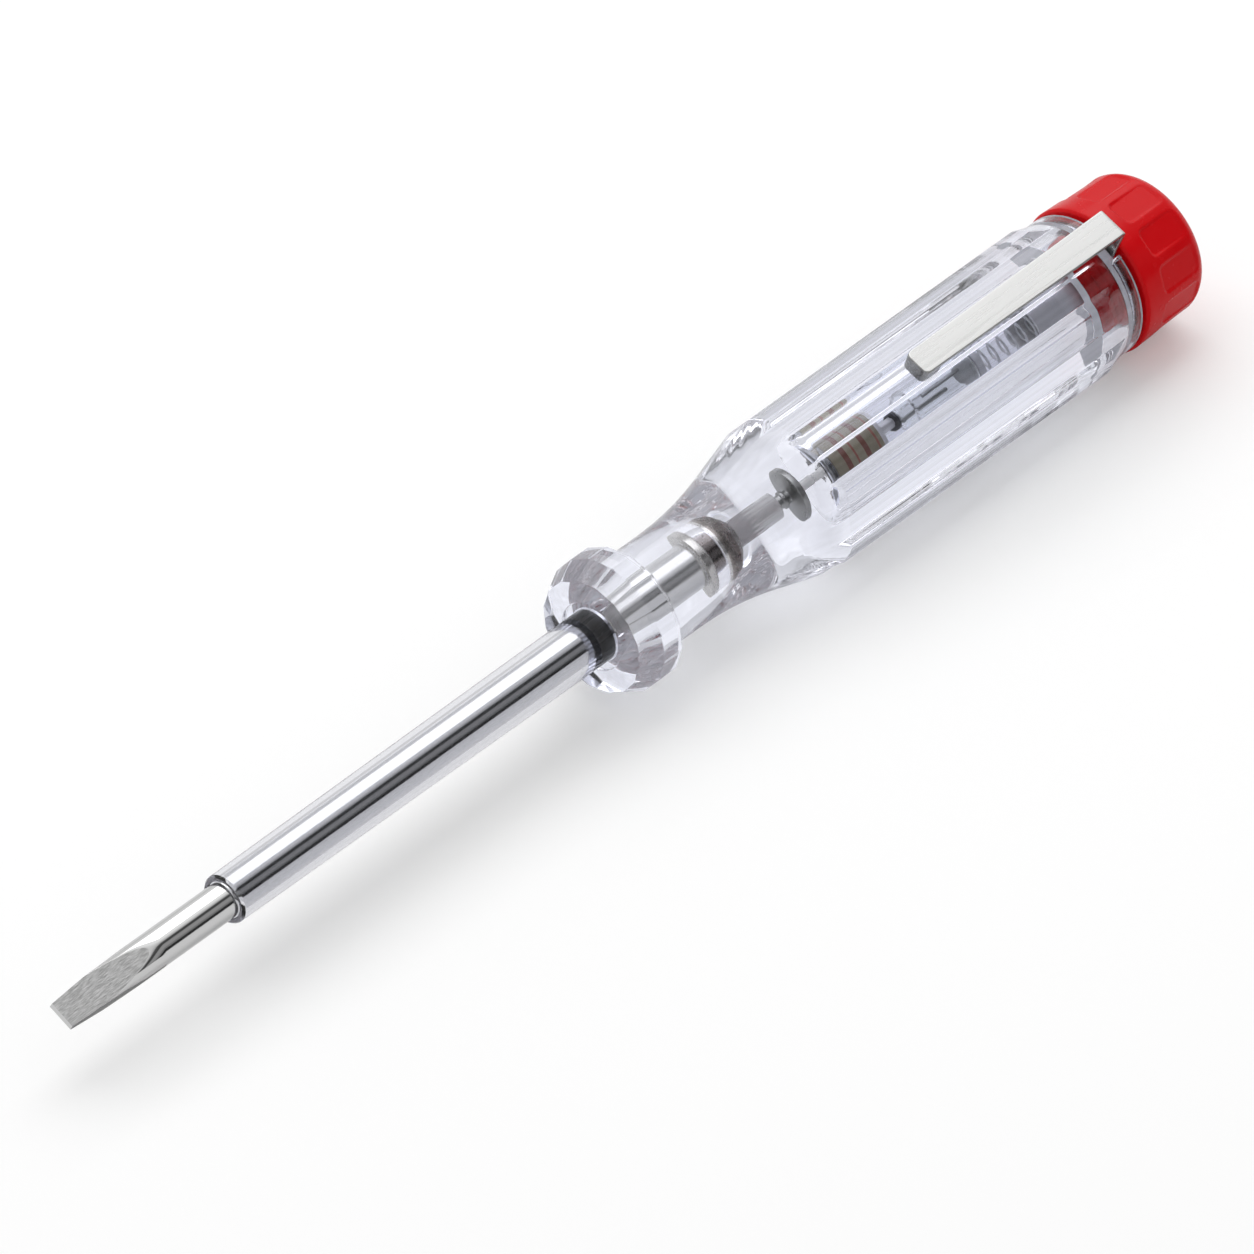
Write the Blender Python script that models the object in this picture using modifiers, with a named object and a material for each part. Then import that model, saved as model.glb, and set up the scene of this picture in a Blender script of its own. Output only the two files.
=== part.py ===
"""Voltage tester screwdriver: blade, clear fluted handle with its lamp circuit, pocket clip and screw cap.

Each piece is built with the tool's axis along Z and the blade's tip at zero. The empty tool_axis then lays
the tool along X, so that it rests on two ridges of its grip.
"""

import math

import bmesh
import bpy
from mathutils import Matrix, Vector

MM = 0.001

# Clearances
GAP = 0.3 * MM
FIT = 0.2 * MM
OVERCUT = 1.0 * MM

# Blade
BLADE_REACH = 69.9 * MM
SHAFT_RADIUS = 1.75 * MM
TIP_LENGTH = 10.5 * MM
TIP_WIDTH = 2.7 * MM
TIP_THICKNESS = 0.5 * MM
TIP_ROLL = math.radians(32)
TANG_RADIUS = 1.35 * MM
TANG_LENGTH = 13.0 * MM
STEM_RADIUS = 0.83 * MM
STEM_LENGTH = 8.8 * MM

# Clear sleeve on the blade
SLEEVE_START = 21.2 * MM
SLEEVE_SEAT = 1.7 * MM
SLEEVE_FRONT_RADIUS = 2.39 * MM
SLEEVE_REAR_RADIUS = 2.58 * MM
SLEEVE_RIM = 0.2 * MM

# Handle
COLLAR_SIDES = 16
COLLAR_TURN = math.radians(7.5)
COLLAR_RADIUS = 6.65 * MM
COLLAR_FACE_RADIUS = 5.6 * MM
COLLAR_LENGTH = 4.9 * MM
COLLAR_FRONT_CHAMFER = 2.16 * MM
COLLAR_REAR_CHAMFER = 0.4 * MM
HUB_RADIUS = 3.35 * MM
HUB_DEPTH = 0.5 * MM
NECK_RADIUS = 4.87 * MM
NECK_LENGTH = 5.3 * MM
FLARE_LENGTH = 16.0 * MM
FLARE_BEND = 0.73
FLARE_POINTS = 9
GRIP_RADIUS = 7.7 * MM
GRIP_LENGTH = 36.3 * MM
RIDGE_END_LENGTH = 1.5 * MM
RIDGE_END_STEP = 0.65 * MM
REAR_LENGTH = 2.2 * MM
FLUTE_COUNT = 8
FLUTE_DEPTH = 0.45 * MM
FLUTE_WIDTH = 3.7 * MM
FLUTE_FLOOR_WIDTH = 2.58 * MM
BORE_RADIUS = 2.75 * MM

# Ferrule on the tang
FERRULE_RADIUS = 2.0 * MM
FERRULE_LENGTH = 5.3 * MM
FERRULE_CONE = 1.8 * MM
FERRULE_FRONT = 1.7 * MM
FERRULE_BAND = 1.6 * MM
FERRULE_GROOVE = 0.12 * MM
FERRULE_OVERLAP = 2.0 * MM

# Contact disc behind the tang
DISC_RADIUS = 1.7 * MM
DISC_THICKNESS = 0.6 * MM
DISC_SHANK_RADIUS = 0.5 * MM
DISC_SHANK_LENGTH = 1.6 * MM

# Resistor
RESISTOR_RADIUS = 2.3 * MM
RESISTOR_LENGTH = 7.4 * MM
RESISTOR_CAP_RADIUS = 2.45 * MM
RESISTOR_CAP_LENGTH = 1.3 * MM
RESISTOR_CAP_FLOOR = 0.4 * MM
RESISTOR_CORE_RADIUS = 1.7 * MM
LEAD_RADIUS = 0.4 * MM
FRONT_LEAD_LENGTH = 1.8 * MM
REAR_LEAD_LENGTH = 2.2 * MM

# Neon lamp
LAMP_RADIUS = 2.0 * MM
LAMP_WALL = 0.4 * MM
LAMP_LENGTH = 9.2 * MM
LAMP_NECK_RADIUS = 1.0 * MM
LAMP_NECK_LENGTH = 0.4 * MM
LAMP_SHOULDER_LENGTH = 0.8 * MM
LAMP_DISC_RADIUS = 1.25 * MM
LAMP_DISC_THICKNESS = 0.4 * MM
LAMP_CAP_THICKNESS = 0.6 * MM
LAMP_PLUG_LENGTH = 0.6 * MM
ELECTRODE_RADIUS = 0.3 * MM
ELECTRODE_LENGTH = 4.6 * MM
ELECTRODE_OFFSET = 0.55 * MM

# Spring and rear contacts
SPRING_RADIUS = 1.6 * MM
SPRING_WIRE_RADIUS = 0.25 * MM
SPRING_PITCH = 1.25 * MM
SPRING_POINTS_PER_CURL = 10
CUP_RADIUS = 2.4 * MM
CUP_LENGTH = 3.4 * MM
CUP_WALL = 0.24 * MM
STUD_RADIUS = 2.0 * MM
STUD_LENGTH = 3.6 * MM
STUD_CHAMFER = 0.25 * MM

# Cap
CAP_LENGTH = 8.6 * MM
CAP_STEP = 0.44 * MM
CAP_TAPER = 0.2 * MM
CAP_FILLET = 1.8 * MM
CAP_FILLET_POINTS = 5
BOSS_RADIUS = 3.95 * MM
BOSS_LENGTH = 4.4 * MM
STUD_ENTRY = 1.7 * MM
PAD_COUNT = 12
PAD_START = 2.5 * MM
PAD_LENGTH = 4.6 * MM
PAD_WIDTH = 2.7 * MM
PAD_DEPTH = 0.38 * MM
PAD_TURN = math.radians(15.5)
THREAD_PITCH = 1.6 * MM
THREAD_RADIUS = 0.4 * MM
THREAD_POINTS_PER_TURN = 24
TOUCH_RADIUS = 1.5 * MM
TOUCH_HEAD_RADIUS = 2.2 * MM
TOUCH_HEAD_LENGTH = 0.5 * MM

# Pocket clip
CLIP_LENGTH = 26.6 * MM
CLIP_THICKNESS = 0.45 * MM
CLIP_FRONT_WIDTH = 2.42 * MM
CLIP_REAR_WIDTH = 2.74 * MM
CLIP_RISE = 0.4 * MM
CLIP_TURN = math.radians(25.3)
CLIP_BEND = 0.5 * MM
CLIP_BEND_POINTS = 4
CLIP_CORNER = 0.7 * MM
CLIP_CORNER_SEGMENTS = 3
FOOT_LENGTH = 2.2 * MM
FOOT_DROP = 1.2 * MM
RING_WIDTH = 1.05 * MM

# Facets and tolerances
BODY_STEPS = 48
SHAFT_STEPS = 24
SMALL_STEPS = 16
TUBE_RESOLUTION = 2
COIL_RESOLUTION = 1
MERGE_DISTANCE = 0.00001
SHARP_ANGLE = math.radians(35)

# Heights along the axis, from the blade's tip
COLLAR_END = BLADE_REACH + COLLAR_LENGTH
NECK_END = COLLAR_END + NECK_LENGTH
GRIP_START = NECK_END + FLARE_LENGTH
GRIP_END = GRIP_START + GRIP_LENGTH
REAR_START = GRIP_END + RIDGE_END_LENGTH
HANDLE_END = REAR_START + REAR_LENGTH
SLEEVE_END = BLADE_REACH + SLEEVE_SEAT
TANG_END = SLEEVE_END + TANG_LENGTH
STEM_END = TANG_END + STEM_LENGTH
FERRULE_START = TANG_END - FERRULE_OVERLAP - GAP
FERRULE_END = FERRULE_START + FERRULE_LENGTH
DISC_START = STEM_END + GAP
DISC_FACE = DISC_START + DISC_SHANK_LENGTH
DISC_END = DISC_FACE + DISC_THICKNESS
BORE_START = DISC_FACE - GAP
FRONT_LEAD_START = DISC_END + GAP
RESISTOR_START = FRONT_LEAD_START + FRONT_LEAD_LENGTH + GAP
RESISTOR_END = RESISTOR_START + RESISTOR_LENGTH
REAR_LEAD_START = RESISTOR_END + GAP
LAMP_DISC_START = REAR_LEAD_START + REAR_LEAD_LENGTH + GAP
LAMP_START = LAMP_DISC_START + LAMP_DISC_THICKNESS + GAP
LAMP_END = LAMP_START + LAMP_LENGTH
LAMP_CAP_START = LAMP_END + GAP
LAMP_CAP_END = LAMP_CAP_START + LAMP_CAP_THICKNESS
CAP_START = HANDLE_END + GAP
CAP_END = CAP_START + CAP_LENGTH
BOSS_START = CAP_START - BOSS_LENGTH
TOUCH_START = BOSS_START + STUD_ENTRY
STUD_START = TOUCH_START - GAP - STUD_LENGTH
CUP_END = STUD_START - GAP
CUP_START = CUP_END - CUP_LENGTH
RING_END = HANDLE_END - GAP
RING_START = RING_END - CLIP_THICKNESS
SEAT_FLOOR = RING_START - GAP
THREAD_BORE_START = BOSS_START - GAP

# Radii that follow from pieces that fit together
REAR_RADIUS = GRIP_RADIUS - RIDGE_END_STEP
CAP_RADIUS = GRIP_RADIUS - CAP_STEP
THREAD_CREST = BOSS_RADIUS + THREAD_RADIUS
RING_INNER_RADIUS = THREAD_CREST + GAP
RING_OUTER_RADIUS = RING_INNER_RADIUS + RING_WIDTH
SEAT_RADIUS = RING_OUTER_RADIUS + GAP

# Directions round the axis, counted from straight up towards -Y
UP = math.pi
RIDGE_ANGLE = math.pi / FLUTE_COUNT


def new_collection(name):
    collection = bpy.data.collections.new(name)
    bpy.context.scene.collection.children.link(collection)
    return collection


def new_material(name, colour, roughness, metallic=0.0, alpha=1.0):
    material = bpy.data.materials.new(name)
    material.use_nodes = True
    shader = material.node_tree.nodes["Principled BSDF"]
    shader.inputs["Base Color"].default_value = (*colour, 1.0)
    shader.inputs["Roughness"].default_value = roughness
    shader.inputs["Metallic"].default_value = metallic
    shader.inputs["Alpha"].default_value = alpha
    return material


def evaluated_mesh(obj):
    depsgraph = bpy.context.evaluated_depsgraph_get()
    return bpy.data.meshes.new_from_object(obj.evaluated_get(depsgraph))


class Workshop:
    """Holds the collections and the empty that the pieces hang on."""

    def __init__(self):
        for obj in list(bpy.data.objects):
            bpy.data.objects.remove(obj, do_unlink=True)
        self.parts = new_collection("voltage_tester_screwdriver")
        self.cutters = new_collection("cutters")
        self.axis = bpy.data.objects.new("tool_axis", None)
        self.axis.rotation_euler.y = math.radians(90)
        self.parts.objects.link(self.axis)

    def add(self, name, data, material=None):
        """A part if it has a material, otherwise a cutter."""
        obj = bpy.data.objects.new(name, data)
        obj.parent = self.axis
        if material is None:
            self.cutters.objects.link(obj)
            obj.hide_render = True
            obj.display_type = "WIRE"
        else:
            self.parts.objects.link(obj)
            data.materials.append(material)
        return obj

    def bake(self, obj, material):
        """Replace the object's mesh by its evaluated one, smooth where it is round."""
        mesh = evaluated_mesh(obj)
        obj.modifiers.clear()
        obj.data = mesh
        if material and not mesh.materials:
            mesh.materials.append(material)
        mesh.shade_smooth()
        mesh.set_sharp_from_angle(angle=SHARP_ANGLE)

    def turned(self, name, outline, steps, material=None, hollow=False):
        """Turn (radius, height) points about Z: up the outside and, if hollow, back down the bore."""
        mesh = bpy.data.meshes.new(name)
        points = [(radius, 0.0, height) for radius, height in reversed(outline)]
        edges = [(i, i + 1) for i in range(len(points) - 1)]
        if hollow:
            edges.append((len(points) - 1, 0))
        mesh.from_pydata(points, edges, [])
        obj = self.add(name, mesh, material)
        screw = obj.modifiers.new("turn", "SCREW")
        screw.steps = steps
        screw.render_steps = steps
        screw.use_merge_vertices = True
        screw.merge_threshold = MERGE_DISTANCE
        self.bake(obj, material)
        return obj

    def tube(self, name, points, radius, resolution, material=None):
        """Round wire along the points, as a closed mesh."""
        curve = bpy.data.curves.new(name, "CURVE")
        curve.dimensions = "3D"
        curve.bevel_depth = radius
        curve.bevel_resolution = resolution
        curve.use_fill_caps = True
        spline = curve.splines.new("POLY")
        spline.points.add(len(points) - 1)
        for place, point in zip(spline.points, points):
            place.co = (*point, 1.0)
        return self.meshed(name, curve, material)

    def bar(self, name, outline, length, material=None):
        """Flat outline of (x, y) points, drawn out along Z to both sides of zero."""
        curve = bpy.data.curves.new(name, "CURVE")
        curve.dimensions = "2D"
        curve.fill_mode = "BOTH"
        curve.extrude = length / 2
        spline = curve.splines.new("POLY")
        spline.points.add(len(outline) - 1)
        spline.use_cyclic_u = True
        for place, (x, y) in zip(spline.points, outline):
            place.co = (x, y, 0.0, 1.0)
        return self.meshed(name, curve, material)

    def plate(self, name, outline, width, material=None):
        """Flat outline of (radius, height) points in the XZ plane, as thick as width along Y."""
        obj = self.bar(name, outline, width, material)
        obj.data.transform(Matrix.Rotation(math.radians(90), 4, "X"))
        return obj

    def meshed(self, name, curve, material):
        """Turn a curve into a mesh object with its caps welded."""
        wire = bpy.data.objects.new(name + "_curve", curve)
        self.cutters.objects.link(wire)
        mesh = evaluated_mesh(wire)
        bpy.data.objects.remove(wire, do_unlink=True)
        shape = bmesh.new()
        shape.from_mesh(mesh)
        bmesh.ops.remove_doubles(shape, verts=shape.verts, dist=MERGE_DISTANCE)
        bmesh.ops.recalc_face_normals(shape, faces=shape.faces)
        shape.to_mesh(mesh)
        shape.free()
        mesh.shade_smooth()
        mesh.set_sharp_from_angle(angle=SHARP_ANGLE)
        mesh.name = name
        return self.add(name, mesh, material)

    def block(self, name, size, centre):
        """Rectangular cutter."""
        mesh = bpy.data.meshes.new(name)
        shape = bmesh.new()
        bmesh.ops.create_cube(shape, size=1.0)
        bmesh.ops.scale(shape, vec=size, verts=shape.verts)
        bmesh.ops.translate(shape, vec=centre, verts=shape.verts)
        shape.to_mesh(mesh)
        shape.free()
        return self.add(name, mesh)

    def combine(self, target, tool, operation):
        boolean = target.modifiers.new(tool.name, "BOOLEAN")
        boolean.operation = operation
        boolean.solver = "EXACT"
        boolean.object = tool

    def lay_down(self):
        """Lay the tool on the ground plane, with the origin under the middle of its length."""
        bpy.context.view_layer.update()
        corners = []
        for obj in self.parts.objects:
            if obj.type == "MESH":
                mesh = evaluated_mesh(obj)
                corners += [obj.matrix_world @ vertex.co for vertex in mesh.vertices]
                bpy.data.meshes.remove(mesh)
        ends = [corner.x for corner in corners]
        self.axis.location.x = -(min(ends) + max(ends)) / 2
        self.axis.location.z = -min(corner.z for corner in corners)


def helix(radius, pitch, start, end, points_per_turn):
    """Points of a right-hand helix whose phase depends only on height."""
    count = max(2, round((end - start) / pitch * points_per_turn))
    heights = [start + (end - start) * i / count for i in range(count + 1)]
    turns = [2 * math.pi * height / pitch for height in heights]
    return [(radius * math.cos(a), radius * math.sin(a), z) for a, z in zip(turns, heights)]


def least_gap(points, wire_radius, points_per_curl):
    """Least clear distance between stretches of a coil that are at least half a curl apart."""
    apart = points_per_curl // 2
    places = [Vector(point) for point in points]
    pairs = [(a, b) for a in range(len(places)) for b in range(a + apart, len(places))]
    return min((places[a] - places[b]).length for a, b in pairs) - 2 * wire_radius


def flare_radius(share):
    """Radius along the flare: a parabola that runs on as a straight cone."""
    if share < FLARE_BEND:
        rise = share * share / (FLARE_BEND * (2 - FLARE_BEND))
    else:
        rise = (2 * share - FLARE_BEND) / (2 - FLARE_BEND)
    return NECK_RADIUS + (GRIP_RADIUS - NECK_RADIUS) * rise


def rod(radius, start, end):
    return [(0.0, start), (radius, start), (radius, end), (0.0, end)]


def chamfered_rod(radius, start, end, chamfer):
    return [
        (0.0, start),
        (radius - chamfer, start),
        (radius, start + chamfer),
        (radius, end - chamfer),
        (radius - chamfer, end),
        (0.0, end),
    ]


def build_blade(shop, steel):
    blade = shop.turned(
        "blade",
        [
            (0.0, 0.0),
            (SHAFT_RADIUS, 0.0),
            (SHAFT_RADIUS, SLEEVE_END),
            (TANG_RADIUS, SLEEVE_END),
            (TANG_RADIUS, TANG_END),
            (STEM_RADIUS, TANG_END),
            (STEM_RADIUS, STEM_END),
            (0.0, STEM_END),
        ],
        SHAFT_STEPS,
        steel,
    )
    # Four ground faces: two broad ones set the thickness, two narrow ones the width
    broad, narrow = TIP_THICKNESS / 2, TIP_WIDTH / 2
    for side, half in enumerate((broad, narrow, broad, narrow)):
        reach = TIP_LENGTH + SHAFT_RADIUS
        grinder = shop.block(
            f"tip_grinder_{side}",
            (SHAFT_RADIUS * 2, SHAFT_RADIUS * 4, reach * 2),
            (SHAFT_RADIUS, 0.0, 0.0),
        )
        lean = math.atan2(SHAFT_RADIUS - half, TIP_LENGTH)
        turn = UP + TIP_ROLL + side * math.pi / 2
        place = Matrix.Rotation(turn, 4, "Z") @ Matrix.Translation((half, 0.0, 0.0))
        grinder.data.transform(place @ Matrix.Rotation(lean, 4, "Y"))
        shop.combine(blade, grinder, "DIFFERENCE")


def build_sleeve(shop, clear):
    bore = SHAFT_RADIUS + FIT
    shop.turned(
        "blade_sleeve",
        [
            (SLEEVE_FRONT_RADIUS - SLEEVE_RIM, SLEEVE_START),
            (SLEEVE_FRONT_RADIUS, SLEEVE_START + SLEEVE_RIM),
            (SLEEVE_REAR_RADIUS, SLEEVE_END),
            (bore, SLEEVE_END),
            (bore, SLEEVE_START),
        ],
        SHAFT_STEPS,
        clear,
        hollow=True,
    )


def build_handle(shop, clear):
    core_start = BLADE_REACH + HUB_DEPTH
    flare = []
    for i in range(1, FLARE_POINTS + 1):
        share = i / FLARE_POINTS
        flare.append((flare_radius(share), NECK_END + FLARE_LENGTH * share))
    handle = shop.turned(
        "handle",
        [
            (0.0, core_start),
            (NECK_RADIUS, core_start),
            (NECK_RADIUS, NECK_END),
            *flare,
            (GRIP_RADIUS, GRIP_END),
            (REAR_RADIUS, REAR_START),
            (REAR_RADIUS, HANDLE_END),
            (0.0, HANDLE_END),
        ],
        BODY_STEPS,
        clear,
    )
    collar = shop.turned(
        "collar_ring",
        [
            (HUB_RADIUS, BLADE_REACH),
            (COLLAR_FACE_RADIUS, BLADE_REACH),
            (COLLAR_RADIUS, BLADE_REACH + COLLAR_FRONT_CHAMFER),
            (COLLAR_RADIUS, COLLAR_END - COLLAR_REAR_CHAMFER),
            (COLLAR_RADIUS - COLLAR_REAR_CHAMFER, COLLAR_END),
            (HUB_RADIUS, COLLAR_END),
        ],
        COLLAR_SIDES,
        hollow=True,
    )
    collar.data.transform(Matrix.Rotation(UP + COLLAR_TURN, 4, "Z"))
    shop.combine(handle, collar, "UNION")
    cut_flutes(shop, handle)
    cut_cavity(shop, handle)
    cut_clip_slot(shop, handle)


def cut_flutes(shop, handle):
    """Shallow flutes with a flat floor and leaning sides."""
    floor = GRIP_RADIUS - FLUTE_DEPTH
    half_floor = FLUTE_FLOOR_WIDTH / 2
    half_width = FLUTE_WIDTH / 2
    brink = math.sqrt(GRIP_RADIUS**2 - half_width**2)
    outside = GRIP_RADIUS + OVERCUT
    half_outside = half_floor + (half_width - half_floor) * (outside - floor) / (brink - floor)
    outline = [(floor, -half_floor), (outside, -half_outside), (outside, half_outside), (floor, half_floor)]
    middle = Matrix.Translation((0.0, 0.0, (NECK_END + REAR_START) / 2))
    for i in range(FLUTE_COUNT):
        cutter = shop.bar(f"flute_{i}", outline, REAR_START - NECK_END)
        cutter.data.transform(Matrix.Rotation(2 * RIDGE_ANGLE * i, 4, "Z") @ middle)
        shop.combine(handle, cutter, "DIFFERENCE")


def cut_cavity(shop, handle):
    """Hollow for the blade's tang, the inner stack, the cap's boss and the clip's ring."""
    seat = SLEEVE_REAR_RADIUS + FIT
    ferrule = FERRULE_RADIUS + FIT
    tang = TANG_RADIUS + FIT
    stem = STEM_RADIUS + FIT
    thread = BOSS_RADIUS + FIT
    cavity = shop.turned(
        "cavity",
        [
            (0.0, BLADE_REACH - OVERCUT),
            (seat, BLADE_REACH - OVERCUT),
            (seat, SLEEVE_END + GAP),
            (tang, SLEEVE_END + GAP),
            (tang, FERRULE_START - GAP),
            (ferrule, FERRULE_START - GAP),
            (ferrule, FERRULE_END - FERRULE_CONE),
            (stem + FIT, FERRULE_END + GAP),
            (stem, FERRULE_END + GAP),
            (stem, BORE_START),
            (BORE_RADIUS, BORE_START),
            (BORE_RADIUS, THREAD_BORE_START),
            (thread, THREAD_BORE_START),
            (thread, SEAT_FLOOR),
            (SEAT_RADIUS, SEAT_FLOOR),
            (SEAT_RADIUS, HANDLE_END + OVERCUT),
            (0.0, HANDLE_END + OVERCUT),
        ],
        SHAFT_STEPS,
    )
    shop.combine(handle, cavity, "DIFFERENCE")
    groove = shop.tube(
        "thread_groove",
        helix(BOSS_RADIUS, THREAD_PITCH, BOSS_START + GAP, HANDLE_END, THREAD_POINTS_PER_TURN),
        THREAD_RADIUS + FIT,
        TUBE_RESOLUTION,
    )
    shop.combine(handle, groove, "DIFFERENCE")


def cut_clip_slot(shop, handle):
    inner = RING_INNER_RADIUS
    outer = GRIP_RADIUS + OVERCUT
    end = HANDLE_END + OVERCUT
    slot = shop.block(
        "clip_slot",
        (outer - inner, CLIP_REAR_WIDTH + 2 * GAP, end - SEAT_FLOOR),
        ((outer + inner) / 2, 0.0, (end + SEAT_FLOOR) / 2),
    )
    slot.data.transform(Matrix.Rotation(UP + CLIP_TURN, 4, "Z"))
    shop.combine(handle, slot, "DIFFERENCE")


def build_ferrule(shop, steel):
    tang = TANG_RADIUS + FIT
    stem = STEM_RADIUS + FIT
    band = FERRULE_START + FERRULE_FRONT
    shop.turned(
        "blade_ferrule",
        [
            (FERRULE_RADIUS, FERRULE_START),
            (FERRULE_RADIUS, band),
            (FERRULE_RADIUS - FERRULE_GROOVE, band),
            (FERRULE_RADIUS - FERRULE_GROOVE, band + FERRULE_BAND),
            (FERRULE_RADIUS, band + FERRULE_BAND),
            (FERRULE_RADIUS, FERRULE_END - FERRULE_CONE),
            (stem + FIT, FERRULE_END),
            (stem, FERRULE_END),
            (stem, TANG_END + GAP),
            (tang, TANG_END + GAP),
            (tang, FERRULE_START),
        ],
        SHAFT_STEPS,
        steel,
        hollow=True,
    )


def build_contact_disc(shop, steel):
    shop.turned(
        "contact_disc",
        [
            (0.0, DISC_START),
            (DISC_SHANK_RADIUS, DISC_START),
            (DISC_SHANK_RADIUS, DISC_FACE),
            (DISC_RADIUS, DISC_FACE),
            (DISC_RADIUS, DISC_END),
            (0.0, DISC_END),
        ],
        SHAFT_STEPS,
        steel,
    )


def build_resistor(shop, beige, tin):
    front_lead_end = FRONT_LEAD_START + FRONT_LEAD_LENGTH
    rear_lead_end = REAR_LEAD_START + REAR_LEAD_LENGTH
    shop.turned("resistor_lead_front", rod(LEAD_RADIUS, FRONT_LEAD_START, front_lead_end), SMALL_STEPS, tin)
    shop.turned("resistor_lead_rear", rod(LEAD_RADIUS, REAR_LEAD_START, rear_lead_end), SMALL_STEPS, tin)
    core_start = RESISTOR_START + RESISTOR_CAP_FLOOR + GAP
    core_end = RESISTOR_END - RESISTOR_CAP_FLOOR - GAP
    body_start = RESISTOR_START + RESISTOR_CAP_LENGTH + GAP
    body_end = RESISTOR_END - RESISTOR_CAP_LENGTH - GAP
    shop.turned(
        "resistor_body",
        [
            (0.0, core_start),
            (RESISTOR_CORE_RADIUS, core_start),
            (RESISTOR_CORE_RADIUS, body_start),
            (RESISTOR_RADIUS, body_start),
            (RESISTOR_RADIUS, body_end),
            (RESISTOR_CORE_RADIUS, body_end),
            (RESISTOR_CORE_RADIUS, core_end),
            (0.0, core_end),
        ],
        SHAFT_STEPS,
        beige,
    )
    for name, floor, inward in (
        ("resistor_cap_front", RESISTOR_START, 1.0),
        ("resistor_cap_rear", RESISTOR_END, -1.0),
    ):
        build_cup(
            shop,
            name,
            floor,
            inward * RESISTOR_CAP_LENGTH,
            inward * RESISTOR_CAP_FLOOR,
            RESISTOR_CAP_RADIUS,
            RESISTOR_CORE_RADIUS + FIT,
            tin,
        )


def build_cup(shop, name, floor, length, floor_thickness, radius, bore, material):
    """Round cup. Its floor is at the given height, and it opens the way that length points."""
    outline = [
        (0.0, floor),
        (radius, floor),
        (radius, floor + length),
        (bore, floor + length),
        (bore, floor + floor_thickness),
        (0.0, floor + floor_thickness),
    ]
    if length < 0:
        outline.reverse()
    shop.turned(name, outline, SHAFT_STEPS, material)


def build_lamp(shop, glass, dark, tin):
    shop.turned(
        "lamp_cap_front",
        rod(LAMP_DISC_RADIUS, LAMP_DISC_START, LAMP_DISC_START + LAMP_DISC_THICKNESS),
        SMALL_STEPS,
        dark,
    )
    neck_end = LAMP_START + LAMP_NECK_LENGTH
    shoulder_end = neck_end + LAMP_SHOULDER_LENGTH
    bore = LAMP_RADIUS - LAMP_WALL
    shop.turned(
        "lamp_glass",
        [
            (LAMP_NECK_RADIUS, LAMP_START),
            (LAMP_NECK_RADIUS, neck_end),
            (LAMP_RADIUS, shoulder_end),
            (LAMP_RADIUS, LAMP_END),
            (bore, LAMP_END),
            (bore, shoulder_end),
            (LAMP_NECK_RADIUS - LAMP_WALL, neck_end),
            (LAMP_NECK_RADIUS - LAMP_WALL, LAMP_START),
        ],
        SHAFT_STEPS,
        glass,
        hollow=True,
    )
    plug_start = LAMP_CAP_START - LAMP_PLUG_LENGTH
    shop.turned(
        "lamp_cap_rear",
        [
            (0.0, plug_start),
            (bore - FIT, plug_start),
            (bore - FIT, LAMP_CAP_START),
            (LAMP_RADIUS, LAMP_CAP_START),
            (LAMP_RADIUS, LAMP_CAP_END),
            (0.0, LAMP_CAP_END),
        ],
        SHAFT_STEPS,
        tin,
    )
    rear_tip = plug_start - GAP
    electrodes = (
        ("lamp_electrode_front", shoulder_end, shoulder_end + ELECTRODE_LENGTH, ELECTRODE_OFFSET),
        ("lamp_electrode_rear", rear_tip - ELECTRODE_LENGTH, rear_tip, -ELECTRODE_OFFSET),
    )
    for name, start, end, offset in electrodes:
        electrode = shop.turned(name, rod(ELECTRODE_RADIUS, start, end), SMALL_STEPS, dark)
        electrode.location.y = offset


def build_spring(shop, steel):
    """Coil between the lamp's rear contact and the floor of the cup."""
    start = LAMP_CAP_END + GAP + SPRING_WIRE_RADIUS
    end = CUP_END - CUP_WALL - GAP - SPRING_WIRE_RADIUS
    curls = max(1, int((end - start) / SPRING_PITCH))
    points = helix(SPRING_RADIUS, (end - start) / curls, start, end, SPRING_POINTS_PER_CURL)
    shop.tube("contact_spring", points, SPRING_WIRE_RADIUS, COIL_RESOLUTION, steel)
    gap = least_gap(points, SPRING_WIRE_RADIUS, SPRING_POINTS_PER_CURL)
    print(f"contact_spring: {curls} curls, least gap to itself {gap / MM:.2f} mm")


def build_rear_contacts(shop, tin):
    build_cup(
        shop,
        "spring_cup",
        CUP_END,
        CUP_START - CUP_END,
        -CUP_WALL,
        CUP_RADIUS,
        CUP_RADIUS - CUP_WALL,
        tin,
    )
    stud_end = STUD_START + STUD_LENGTH
    shop.turned(
        "contact_stud", chamfered_rod(STUD_RADIUS, STUD_START, stud_end, STUD_CHAMFER), SHAFT_STEPS, tin
    )


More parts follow.
